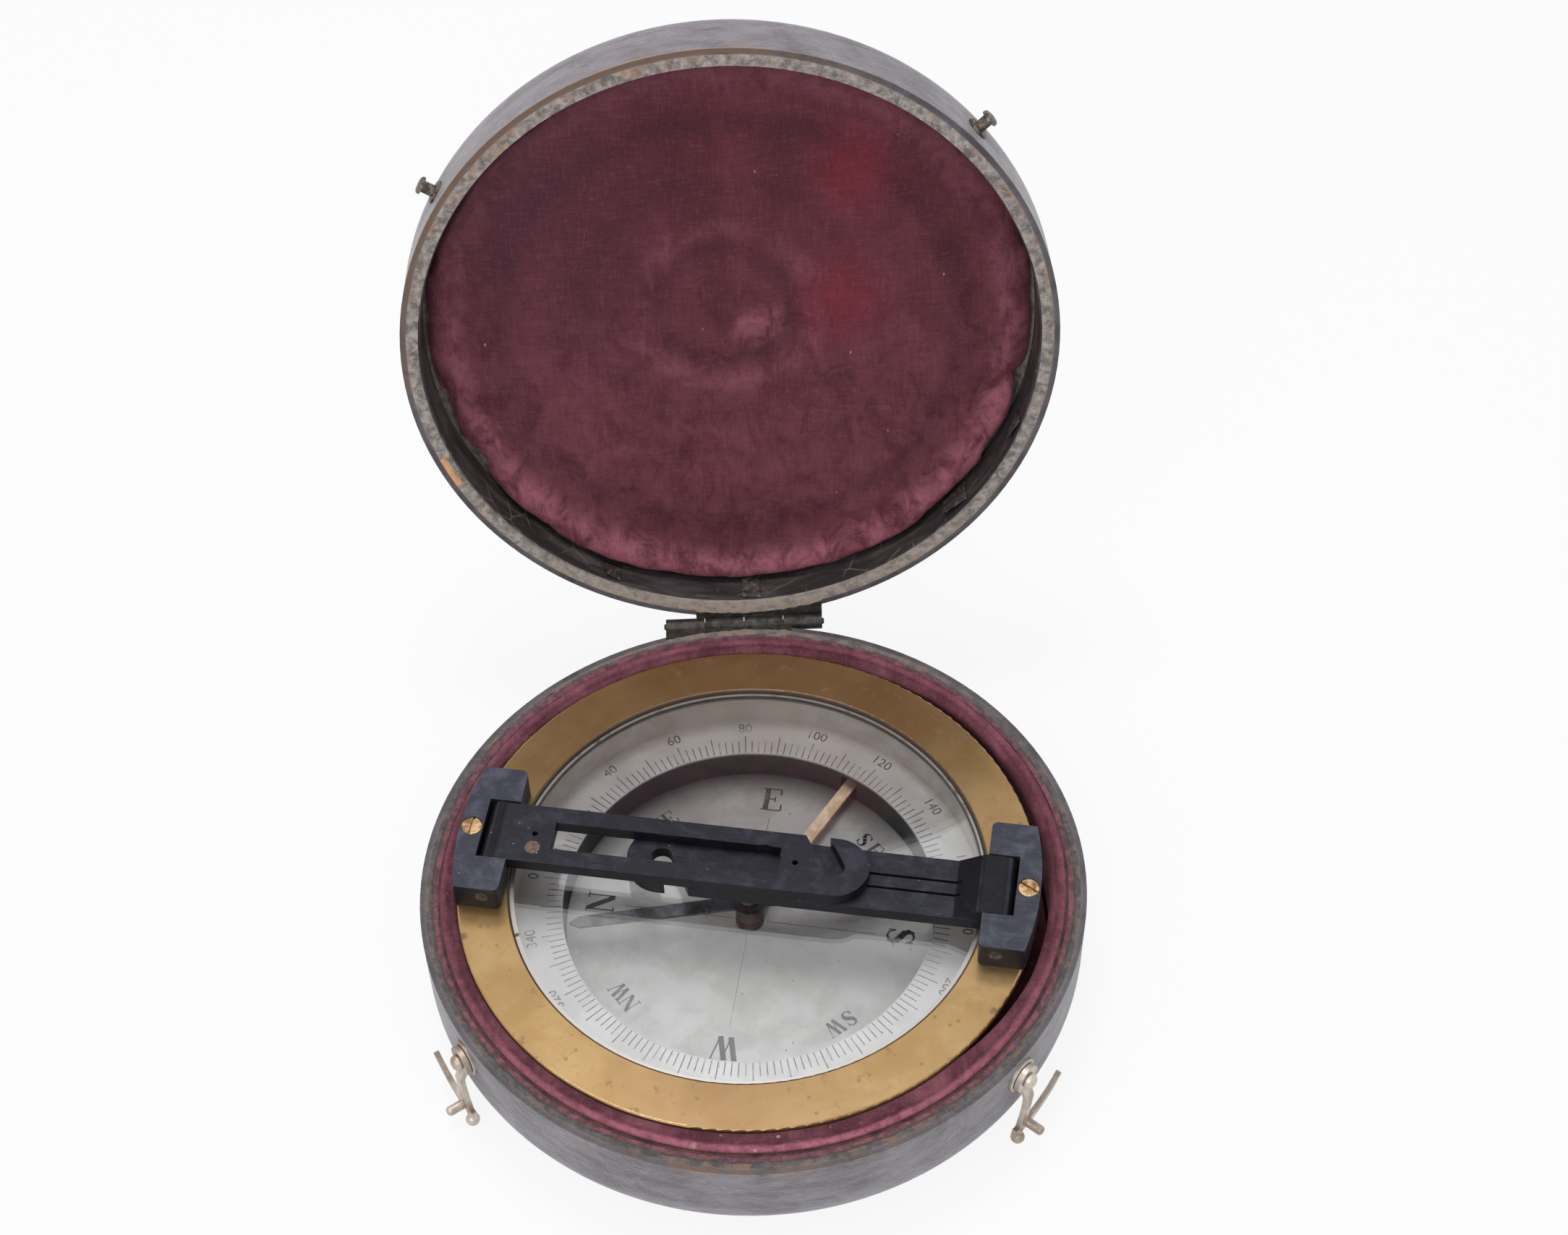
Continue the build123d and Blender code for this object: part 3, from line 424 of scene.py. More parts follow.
@dataclass(frozen=True)
class CoveredHinge(Finish):
    """Dark hinge metal, whose leaves lie under the leather of the rim."""

    rim: WornRim
    clean: Colour = shade(72, 69, 64)
    tarnish: Colour = shade(40, 38, 36)

    def surface(self, r: Recipe, point: Socket) -> Socket:
        """Shader in a frame whose height 0 is the rim."""
        radius, _, _ = r.round_coordinates(point)
        tone = r.cloud(point, 1.6, 5.0, 0.65, 0.3)
        metal = r.principled(Base_Color=r.mix(tone.rise(0.38, 0.64), self.clean, self.tarnish),
                             Roughness=0.42 + 0.2 * tone, Metallic=0.6, Normal=r.bump(tone, 0.05))
        covered = (radius + 0.9 * r.cloud(point, 1.8, 4.0, 0.65)).rise(49.95, 49.8)
        return r.blend(covered, metal, self.rim.surface(r, point))


@dataclass(frozen=True)
class CrushedVelvet(Finish):
    """Maroon velvet with a nap that lies this way and that."""

    deep: Colour = shade(86, 41, 50)
    nap: Colour = shade(128, 64, 79)
    # Pale nap colour, used for the thread pattern and for painted highlights.
    bloom: Colour = shade(162, 98, 113)
    red: Colour = shade(132, 42, 56)
    purple: Colour = shade(84, 50, 68)
    nap_share: float = 0.34
    ridge: Optional[float] = None
    pad: bool = False

    def rolled(self, r: Recipe, point: Socket, colour: Socket) -> Socket:
        """Colour of the collar's roll, with painted highlight outside its ridge, most at the front, painted
        shade along the ridge, a seam and flecks of dust.
        """
        radius, angle, _ = r.round_coordinates(point)
        wander = radius + 0.9 * (r.cloud(point, 2.8, 5.0, 0.6) - 0.5)
        brushed = r.cloud(point, 1.6, 6.0, 0.7).rise(0.35, 0.62)
        # Painted highlight: the outer side of the roll is paler, most of all at the front.
        outer = wander.rise(self.ridge - 0.3, self.ridge + 0.4) * (0.4 + 0.6 * brushed)
        colour = r.mix(outer * (0.3 + 0.7 * r.near_angle(angle, -88.0, 80.0)), colour, self.bloom)
        shaded = wander.hump(self.ridge - 0.2, 0.5) * r.cloud(point, 4.0, 4.0).rise(0.38, 0.6)
        colour = r.mix(shaded * 0.4, colour, shade(60, 32, 44))
        seam = r.near_angle(angle, -102.2, 0.9) * radius.rise(self.ridge - 0.1, self.ridge + 0.4)
        flecks = r.cells(point, 2.4).rise(0.16, 0.06) * r.near_angle(angle, -88.0, 32.0)
        return r.mix((seam * 0.5).most(flecks * 0.7), colour, shade(200, 160, 170))

    def pressed(self, r: Recipe, point: Socket, colour: Socket) -> Socket:
        """Colour of the lid's pad, with painted shade in the rings that the compass has pressed into it and
        painted highlights where light falls on it.

        Args:
            r: recipe that the nodes are added to.
            point: coordinates in the lid's frame.
            colour: colour of the velvet before.

        Returns:
            The colour with the pressed rings, the red and purple parts and the pale roll.
        """
        x, y, _ = r.axes(point)
        radius, _, _ = r.round_coordinates(point)
        wander = 3.0 * (r.cloud(point, 14.0, 3.0) - 0.5)
        inner = r.distance(x + 0.3, y + 4.8) + wander
        # Painted shade in the rings that the compass pressed into the face.
        dark = (inner.hump(9.8, 2.6) * 0.5 + inner.hump(21.0, 3.4) * 0.3
                + (radius + wander).hump(36.0, 4.0) * 0.55)
        colour = r.mix(dark.least(1.0) * 0.9, colour, shade(68, 33, 41))
        # Painted highlights: the rolled edge, the outer edge, the lit side of the dents and the lower half
        # are paler.
        low = y.rise(-30.0, 20.0)
        roll = (radius + wander * 0.5).hump(43.2, 4.2) * (0.35 + 0.65 * low)
        edge = radius.rise(43.8, 45.4) * (0.5 + 0.5 * low)
        painted_dent_highlight = r.distance(x - 4.6, (y + 1.6) * 1.2).rise(6.0, 2.0)
        light = (roll * 0.85).most(edge * 0.5) + inner.hump(13.6, 3.0) * 0.25 + painted_dent_highlight * 0.65
        brushed = r.cloud(r.stretch(point, (1.1, 0.7, 1.0)), 4.5, 6.0, 0.7, 0.6).rise(0.32, 0.66)
        light = light * brushed + low * 0.24 * brushed
        colour = r.mix(light.least(1.0), colour, self.bloom)
        for at_x, at_y, reach in ((19.0, -27.0, 9.0), (17.5, -6.0, 10.0)):
            spot = r.distance(x - at_x, (y - at_y) * 0.75)
            colour = r.mix((spot + wander).rise(reach, 1.0) * 0.52, colour, self.red)
        side = x.rise(0.0, -34.0) * 0.4 * y.rise(24.0, -26.0)
        return r.mix(side, colour, self.purple)

    def surface(self, r: Recipe, point: Socket) -> Socket:
        """Shader in a frame whose axis is that of the piece."""
        strokes = r.cloud(r.stretch(point, (1.0, 0.6, 1.0)), 6.0, 6.0, 0.65, 0.7)
        patches = r.cloud(point, 15.0, 3.0, 0.5, 0.5)
        light = (strokes * 0.6 + patches * 0.4).rise(0.42, 0.66)
        colour = r.mix(light * self.nap_share, self.deep, self.nap)
        if self.ridge is not None:
            colour = self.rolled(r, point, colour)
        if self.pad:
            colour = self.pressed(r, point, colour)
        warp, weft = (r.cloud(r.stretch(point, scale), 1.0, 2.0, 0.5)
                      for scale in ((2.4, 0.35, 1.0), (0.35, 2.4, 1.0)))
        threads = warp * 0.5 + weft * 0.5
        fibre = r.cloud(point, 0.35, 2.0, 0.6)
        colour = r.mix(threads.rise(0.5, 0.7) * 0.13 + fibre.rise(0.5, 0.75) * 0.13, colour, self.bloom)
        colour = r.mix(threads.rise(0.5, 0.34) * 0.2, colour, shade(52, 24, 32))
        lint = (r.cells(r.stretch(point, (1.0, 0.5, 1.0)), 2.2).rise(0.08, 0.03)
                * r.cloud(point, 5.0).rise(0.58, 0.64))
        colour = r.mix(lint * 0.8, colour, shade(196, 168, 166))
        relief = r.bump(threads, 0.1, r.bump(strokes, 0.3))
        return r.principled(Base_Color=colour, Roughness=0.92, Normal=relief, Sheen_Weight=0.22,
                            Sheen_Roughness=0.4, Sheen_Tint=shade(224, 160, 172), Specular_IOR_Level=0.25)


@dataclass(frozen=True)
class LiningPaper(Finish):
    """Black paper, rubbed grey, with a pale torn side."""

    torn: bool = False

    def surface(self, r: Recipe, point: Socket) -> Socket:
        """Shader in a frame whose height 0 is the rim."""
        radius, angle, height = r.round_coordinates(point)
        rubbed = r.cloud(r.vector(angle * 9.0, radius, height * 0.8), 2.2, 6.0, 0.65).rise(0.42, 0.7)
        colour = r.mix(rubbed, shade(44, 39, 40), shade(92, 84, 85))
        cracks = r.cells(point, 5.5, "DISTANCE_TO_EDGE").rise(0.03, 0.01) * r.cloud(point, 9.0).rise(0.5, 0.6)
        colour = r.mix(cracks * 0.6, colour, shade(132, 122, 118))
        if self.torn:
            colour = r.mix(r.cloud(point, 0.8, 4.0).rise(0.5, 0.66) * 0.5, colour, shade(140, 130, 124))
        relief = r.bump(r.cloud(point, 1.2, 5.0, 0.6), 0.18)
        return r.principled(Base_Color=colour, Roughness=0.62, Normal=relief)


@dataclass(frozen=True)
class GoldenBrass(Finish):
    """Lacquered brass with brown spots where the lacquer has gone, painted shade at its front and back, and a
    painted dark line at its inner edge.
    """

    gold: Colour = shade(176, 147, 101)
    deep: Colour = shade(161, 129, 84)
    spot: Colour = shade(104, 76, 58)
    edge_at: float = 36.3

    def surface(self, r: Recipe, point: Socket) -> Socket:
        """Shader with turning marks round the frame's axis."""
        radius, angle, _ = r.round_coordinates(point)
        tone = r.cloud(point, 11.0, 5.0, 0.6, 0.4)
        colour = r.mix(tone.rise(0.35, 0.68), self.gold, self.deep)
        cloudy = r.cloud(point, 1.5, 6.0, 0.7)
        colour = r.mix(cloudy.rise(0.5, 0.66) * 0.35, colour, shade(166, 124, 92))
        # Painted shade: the front and, more faintly, the back of the flange are darker, as the light falls on
        # it.
        painted_flange_shade = r.near_angle(angle, -84.0, 46.0).most(r.near_angle(angle, 90.0, 60.0) * 0.3)
        colour = r.mix(painted_flange_shade * 0.6, colour, shade(128, 98, 72))
        stains = r.cloud(point, 2.6, 5.0, 0.65).rise(0.6, 0.72) * 0.7
        specks = r.cells(point, 2.0).rise(0.24, 0.08) * r.cloud(point, 6.0, 3.0).rise(0.52, 0.62) * 0.75
        big = (r.cells(point, 9.0) + 0.25 * (cloudy - 0.5)).rise(0.11, 0.03)
        marks = stains.most(specks).most(big)
        colour = r.mix(marks * 0.75, colour, self.spot)
        # Painted shade: a dark line at the inner edge stands for the shaded gap beside the glass, and it
        # counts as a mark for roughness and metal.
        edge = radius.rise(self.edge_at + 0.08, self.edge_at - 0.1)
        marks = marks.most(edge)
        colour = r.mix(edge * 0.85, colour, shade(62, 46, 40))
        turning = r.cloud(r.vector(radius * 6.0, angle * 2.0, 0.0), 1.0, 3.0, 0.6)
        return r.principled(Base_Color=colour, Roughness=0.23 + 0.06 * turning + 0.04 * marks,
                            Metallic=0.75 - 0.5 * marks, Normal=r.bump(tone, 0.004))


@dataclass(frozen=True)
class SilveredBrass(Finish):
    """Dull silvering, yellowed near the wall of the bowl, with painted shade at the back, a painted shadow of
    the ring on the dial and a painted dark inner wall of the ring.
    """

    silver: Colour = shade(186, 183, 177)
    dim: Colour = shade(160, 156, 148)
    stain: Colour = shade(146, 125, 98)
    step: float = 28.4

    def surface(self, r: Recipe, point: Socket) -> Socket:
        """Shader in the frame of the compass."""
        radius, angle, height = r.round_coordinates(point)
        tone = r.cloud(point, 9.0, 5.0, 0.6, 0.3)
        colour = r.mix(tone.rise(0.38, 0.66), self.silver, self.dim)
        corner = radius.rise(33.6, 35.6) * r.cloud(point, 5.0, 5.0, 0.65).rise(0.36, 0.62)
        # Painted shade: the ring and wall at the back are warmer and darker where the lid keeps the light
        # off; the corner stain beside it is tarnish.
        painted_back_shade = r.near_angle(angle, 100.0, 75.0) * radius.rise(28.0, 31.0) * 0.45
        colour = r.mix((corner * 0.7).most(painted_back_shade), colour, self.stain)
        specks = r.cells(point, 3.1).rise(0.08, 0.03)
        colour = r.mix(specks * 0.7, colour, shade(92, 84, 78))
        colour = r.mix(radius.rise(self.step - 0.1, self.step + 0.3) * 0.3, colour, shade(226, 223, 218))
        low = height.rise(-7.1, -7.4)
        # Painted shadow of the ring's inner edge, darkening the back of the dial below the ring.
        painted_ring_shadow = r.near_angle(angle, 104.0, 95.0).rise(0.0, 0.6) * radius.rise(self.step - 6.5, self.step - 0.6)
        colour = r.mix(painted_ring_shadow * low * 0.8, colour, shade(74, 76, 74))
        # Painted shade: the ring's inner wall is painted dark, rough and without metal.
        wall = low * radius.rise(self.step - 0.4, self.step - 0.15)
        colour = r.mix(wall, colour, shade(50, 56, 55))
        grain = r.cloud(r.stretch(point, (0.15, 3.0, 1.0)), 0.8, 3.0, 0.6)
        return r.principled(Base_Color=colour, Roughness=0.26 + 0.08 * tone + 0.4 * wall,
                            Metallic=0.34 - 0.34 * wall, Normal=r.bump(grain, 0.006))


@dataclass(frozen=True)
class BlackenedBrass(Finish):
    """Blue-black bronzing with rusty specks, rubbed lighter in places, with painted shade on all but its top
    faces.
    """

    black: Colour = shade(38, 38, 46)
    rubbed: Colour = shade(58, 58, 70)
    worn: Colour = shade(78, 78, 90)
    faces: tuple[float, ...] = (2.8, 5.0)

    def surface(self, r: Recipe, point: Socket) -> Socket:
        """Shader in the frame of the compass."""
        tone = r.cloud(point, 3.2, 5.0, 0.6, 0.4)
        colour = r.mix(tone.rise(0.42, 0.74), self.black, self.rubbed)
        brushed = r.cloud(r.stretch(point, (0.2, 3.0, 1.0)), 1.0, 3.0, 0.6)
        colour = r.mix(brushed.rise(0.54, 0.7) * 0.2, colour, self.worn)
        rust = r.cloud(point, 1.1, 5.0, 0.7).rise(0.64, 0.72)
        colour = r.mix(rust * 0.8, colour, shade(122, 96, 84))
        specks = r.cells(point, 1.7).rise(0.1, 0.04) * r.cloud(point, 5.0).rise(0.5, 0.6)
        colour = r.mix(specks * 0.7, colour, shade(170, 160, 150))
        # Painted shade: every face except the top faces at the given heights is darkened most of the way to
        # black.
        _, _, height = r.axes(point)
        on_face: Number = 0.0
        for level in self.faces:
            on_face = height.hump(level, 0.16).rise(0.0, 0.4).most(on_face)
        colour = r.mix(on_face, r.mix(0.72, colour, shade(10, 9, 10)), colour)
        return r.principled(Base_Color=colour, Roughness=0.36 + 0.14 * tone, Metallic=0.1,
                            Normal=r.bump(r.cloud(point, 0.9, 4.0), 0.02), Specular_IOR_Level=0.18)


@dataclass(frozen=True)
class AgedMetal(Finish):
    """Plain metal with a tarnish that comes and goes."""

    clean: Colour
    tarnish: Colour
    roughness: float = 0.38
    spots: float = 1.6
    metallic: float = 0.9
    dull_within: float = 0.0

    def surface(self, r: Recipe, point: Socket) -> Socket:
        """Shader in any frame."""
        tone = r.cloud(point, self.spots, 5.0, 0.65, 0.3)
        colour = r.mix(tone.rise(0.38, 0.64), self.clean, self.tarnish)
        if self.dull_within:
            radius, _, _ = r.round_coordinates(point)
            colour = r.mix(radius.rise(self.dull_within, self.dull_within - 0.5), colour, shade(104, 78, 66))
        return r.principled(Base_Color=colour, Roughness=self.roughness + 0.2 * tone, Metallic=self.metallic,
                            Normal=r.bump(r.cloud(point, 0.4, 3.0), 0.006))


@dataclass(frozen=True)
class SplitRing(Finish):
    """Pale metal ring with painted shade on its sides and back and painted highlights on its crown and front.
    """

    middle: float = 35.62
    half: float = 0.2

    def surface(self, r: Recipe, point: Socket) -> Socket:
        """Shader in the frame of the compass."""
        radius, angle, _ = r.round_coordinates(point)
        # Painted highlight on the front and on the crown, painted shade on the rest.
        front = r.near_angle(angle, -90.0, 110.0).rise(0.1, 0.3)
        crown = radius.hump(self.middle, self.half * 1.6) * r.cloud(point, 4.0, 4.0, 0.6).rise(0.3, 0.5)
        painted_ring_highlight = crown.most(front)
        return r.principled(Base_Color=r.mix(painted_ring_highlight, shade(66, 58, 54), shade(178, 174, 170)),
                            Roughness=0.5 - 0.2 * painted_ring_highlight, Metallic=0.4 + 0.4 * painted_ring_highlight)


@dataclass(frozen=True)
class DarkAgate(Finish):
    """Polished brown-red stone."""

    def surface(self, r: Recipe, point: Socket) -> Socket:
        """Shader in any frame."""
        veins = r.cloud(point, 0.9, 4.0, 0.6, 0.6).rise(0.4, 0.62)
        return r.principled(Base_Color=r.mix(veins, shade(58, 34, 32), shade(104, 62, 50)),
                            Roughness=0.16 + 0.1 * r.cloud(point, 0.5), Coat_Weight=0.4)


@dataclass(frozen=True)
class FlatGlass(Finish):
    """Flat glass with a little dust, through which light reaches the dial."""

    tint: Colour = shade(242, 245, 250)

    def surface(self, r: Recipe, point: Socket) -> Socket:
        """Shader that throws no shadow."""
        dust = r.cloud(point, 0.9, 4.0, 0.7).rise(0.55, 0.8)
        glass = r.principled(Base_Color=self.tint, Roughness=0.03 * dust, IOR=1.92, Transmission_Weight=1.0)
        clear = r.node("ShaderNodeBsdfTransparent").outputs[0]
        return r.blend(r.most_ray("Is Shadow Ray", "Is Diffuse Ray"), glass, clear)


@dataclass(frozen=True)
class EngravedInk(Finish):
    """Black wax in engraved lines, faded in places."""

    ink: Colour = shade(44, 42, 42)
    faded: Colour = shade(120, 118, 116)
    wear: float = 0.5

    def surface(self, r: Recipe, point: Socket) -> Socket:
        """Shader in the frame of the compass."""
        faded = r.cloud(point, 2.6, 4.0, 0.6).rise(0.62 - 0.2 * self.wear, 0.8 - 0.2 * self.wear)
        return r.principled(Base_Color=r.mix(faded, self.ink, self.faded), Roughness=0.55 + 0.1 * faded)


@dataclass(frozen=True)
class PaleFloor(Finish):
    """Floor that looks almost white and still keeps a faint shadow."""

    paint: Colour = shade(236, 238, 240)
    white_share: float = 0.88

    def surface(self, r: Recipe, point: Socket) -> Socket:
        """Shader in any frame."""
        paint = r.node("ShaderNodeBsdfDiffuse", None, {"Color": self.paint}).outputs[0]
        white = r.node("ShaderNodeEmission", None, {"Color": (1, 1, 1, 1), "Strength": 1.0}).outputs[0]
        return r.blend(r.directly_seen() * self.white_share, paint, white)


BASE_RIM = WornRim(grey=shade(100, 94, 90), tan_at=-86.0, velvet_to=48.0)
LID_RIM = WornRim(grey=shade(184, 174, 167), dark=shade(104, 96, 92), tan=shade(176, 136, 106),
                  tan_at=-120.0, pale_share=0.9, bare_at=156.0)


# Meshes

class Work:
    """A mesh in the making, in the millimetres of a sub-assembly's frame."""

    def __init__(self) -> None:
        """Start with an empty mesh."""
        self.bm = bmesh.new()

    def turn(self, profile: Sequence[Point2], steps: int) -> "Work":
        """Spin a profile of (radius, height) points right round."""
        verts = [self.bm.verts.new((radius, 0.0, height)) for radius, height in profile]
        edges = [self.bm.edges.new(pair) for pair in zip(verts, verts[1:])]
        bmesh.ops.spin(self.bm, geom=[*verts, *edges], cent=(0, 0, 0), axis=(0, 0, 1),
                       angle=2 * math.pi, steps=steps, use_merge=True)
        bmesh.ops.remove_doubles(self.bm, verts=self.bm.verts[:], dist=1e-5)
        bmesh.ops.recalc_face_normals(self.bm, faces=self.bm.faces[:])
        return self

    def slab(self, start: Point2, end: Point2, width: float, low: float, high: float,
             cap: float = 0.0) -> list[bmesh.types.BMVert]:
        """Add a flat bar between two points.

        Args:
            start: middle of one end.
            end: middle of the other end.
            width: breadth across the bar.
            low: height of the underside.
            high: height of the top.
            cap: length added to each end.

        Returns:
            The new vertices.
        """
        a, b = Vector((*start, 0.0)), Vector((*end, 0.0))
        run = b - a
        size = Matrix.Diagonal((run.length + 2 * cap, width, high - low, 1.0))
        turned = Matrix.Rotation(math.atan2(run.y, run.x), 4, "Z")
        middle = Matrix.Translation((a + b) / 2 + Vector((0, 0, (low + high) / 2)))
        return bmesh.ops.create_cube(self.bm, size=1.0, matrix=middle @ turned @ size)["verts"]

    def move(self, verts: Sequence[bmesh.types.BMVert], matrix: Matrix) -> None:
        """Transform some of the vertices."""
        bmesh.ops.transform(self.bm, matrix=matrix, verts=list(verts))

    def shape(self, change: Callable[[Vector], Vector]) -> "Work":
        """Move every vertex to where a function puts it."""
        for vert in self.bm.verts:
            vert.co = change(vert.co.copy())
        return self

    def piece(self, name: str, place: Place, material: Material, smooth: bool = True) -> Object:
        """Finish the mesh as an object at the origin, with its place in its mesh."""
        bmesh.ops.transform(self.bm, matrix=place.matrix(), verts=self.bm.verts[:])
        mesh = bpy.data.meshes.new(name)
        self.bm.to_mesh(mesh)
        self.bm.free()
        mesh.materials.append(material)
        if smooth:
            mesh.shade_smooth()
        return in_scene(name, mesh)


def in_scene(name: str, data: bpy.types.ID) -> Object:
    """Put a mesh, camera or lamp into the scene."""
    made = bpy.data.objects.new(name, data)
    bpy.context.scene.collection.objects.link(made)
    return made


def dress(place: Place, finishes: dict[str, tuple[Finish, Sequence[str]]]) -> None:
    """Give CAD nodes their finishes.

    Args:
        place: frame in which the patterns lie.
        finishes: for each material's name, its finish and the nodes that get it.
    """
    for name, (finish, nodes) in finishes.items():
        material = finish.make(name, place)
        for node in nodes:
            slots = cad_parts[node].data.materials
            slots.clear()
            slots.append(material)
            REPORT.info("dressed %s with %s", node, name)


def settle(piece: Object) -> None:
    """Apply what a piece's modifiers make of it."""
    graph = bpy.context.evaluated_depsgraph_get()
    mesh = bpy.data.meshes.new_from_object(piece.evaluated_get(graph), depsgraph=graph)
    piece.modifiers.clear()
    piece.data = mesh


def join_in(made: Object, body: str, slot: Slot, *replaced: str) -> None:
    """Let a new piece ride on its body, and hide the nodes that it stands for."""
    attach(made, body)
    if replaced:
        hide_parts(*replaced)
    REPORT.info("built %s on %s, %d faces", made.name, body, len(made.data.polygons))


# Sub-assemblies

@dataclass
class CaseBase:
    """Base of the case: leather, rim, velvet collar, bed and foot."""

    collar_in: float = 44.8
    collar_out: float = 46.9
    velvet_rise: float = 0.95
    collar_rise: float = 0.3
    board_in: float = 45.3
    bed_top: float = -13.3
    bed_low: float = -15.1
    bed_radius: float = 45.25
    flange_r: float = 43.8
    flange_clear: float = 0.03
    slack_at: float = 0.12

    def build(self) -> None:
        """Make the velvet pieces and dress the rest."""
        dress(AT_RIM, {
            "base_leather_finish": (WornLeather(), ["base_leather", "base_foot"]),
            "base_rim_finish": (BASE_RIM, ["base_core"]),
            "collar_board_finish": (AgedMetal(shade(96, 66, 56), shade(60, 40, 40), 0.8, 3.0, 0.0),
                                    ["base_collar"])})
        velvet = CrushedVelvet(deep=shade(84, 44, 54), nap=shade(128, 78, 89), bloom=shade(180, 108, 127),
                               nap_share=0.9, ridge=45.75).make("collar_velvet_finish", AT_RIM)
        join_in(self.collar(velvet), "case_base", Slot.VELVET, "collar_velvet")
        bed = self.bed(velvet)
        join_in(bed, "case_base", Slot.VELVET, "base_bed")

    def collar(self, velvet: Material) -> Object:
        """Velvet lining with an uneven roll over the collar."""
        top, mid = self.velvet_rise, (self.collar_in + self.collar_out) / 2
        low = self.bed_top + 0.1
        wall = [(self.collar_in, height) for height in (low, -9.0, -5.0, -3.0, -2.0, -1.4, -0.9, -0.4, 0.0)]
        profile = [*wall, (self.collar_in + 0.05, 0.3), (self.collar_in + 0.18, 0.6),
                   (self.collar_in + 0.4, 0.78),
                   (mid - 0.35, 0.74), (mid - 0.15, 0.62), (mid + 0.05, 0.72), (mid + 0.35, top),
                   (self.collar_out - 0.35, 0.92), (self.collar_out - 0.1, 0.74),
                   (self.collar_out, self.collar_rise + 0.02), (self.board_in, self.collar_rise + 0.02),
                   (self.board_in, low), wall[0]]
        centre = Vector((CASE.compass_x, CASE.compass_y))

        def crush(co: Vector) -> Vector:
            """Press the roll in and out a little, and let its inner side lie against the flange."""
            radius, angle = math.hypot(co.x, co.y), math.atan2(co.y, co.x)
            wave = noise.noise(Vector((co.x * 0.22, co.y * 0.22, 0.0)))
            fine = noise.noise(Vector((co.x * 1.1, co.y * 1.1, co.z)))
            along = Vector((math.cos(angle), math.sin(angle)))
            shift = centre.dot(along)
            flange = shift + math.sqrt(self.flange_r ** 2 - centre.length_squared + shift ** 2)
            gap = max(0.0, radius - self.flange_clear - flange)
            slack = max(0.0, math.cos(angle - self.slack_at) - 0.55) / 0.45
            side = share((45.4 - radius) / 0.6) * share((co.z + 2.4) / 1.6)
            reach = gap * side * (1.0 - 0.8 * min(1.0, 1.6 * slack)) * (0.97 + 0.03 * wave)
            co.z -= share((co.z + 2.0) / 2.5) * (0.16 + 0.22 * wave + 0.07 * fine)
            co.x -= along.x * reach
            co.y -= along.y * reach
            return co

        return Work().turn(profile, 288).shape(crush).piece("collar_velvet_roll", AT_RIM, velvet)

    def bed(self, velvet: Material) -> Object:
        """Shallow padded bed under the bowl."""
        radius = self.bed_radius
        profile = [(0.0, self.bed_low), (radius - 4.0, self.bed_low), (radius, self.bed_top - 0.5),
                   (radius - 0.5, self.bed_top - 0.12), (radius - 2.0, self.bed_top - 0.02),
                   *[(radius * part, self.bed_top) for part in (0.9, 0.8, 0.65, 0.5, 0.35, 0.2, 0.1, 0.0)]]

        def soften(co: Vector) -> Vector:
            """Let the top sink a little here and there."""
            if co.z > self.bed_top - 0.3:
                co.z -= 0.12 + 0.1 * noise.noise(co * 0.12)
            return co

        return Work().turn(profile, 128).shape(soften).piece("bed_velvet", AT_RIM, velvet)


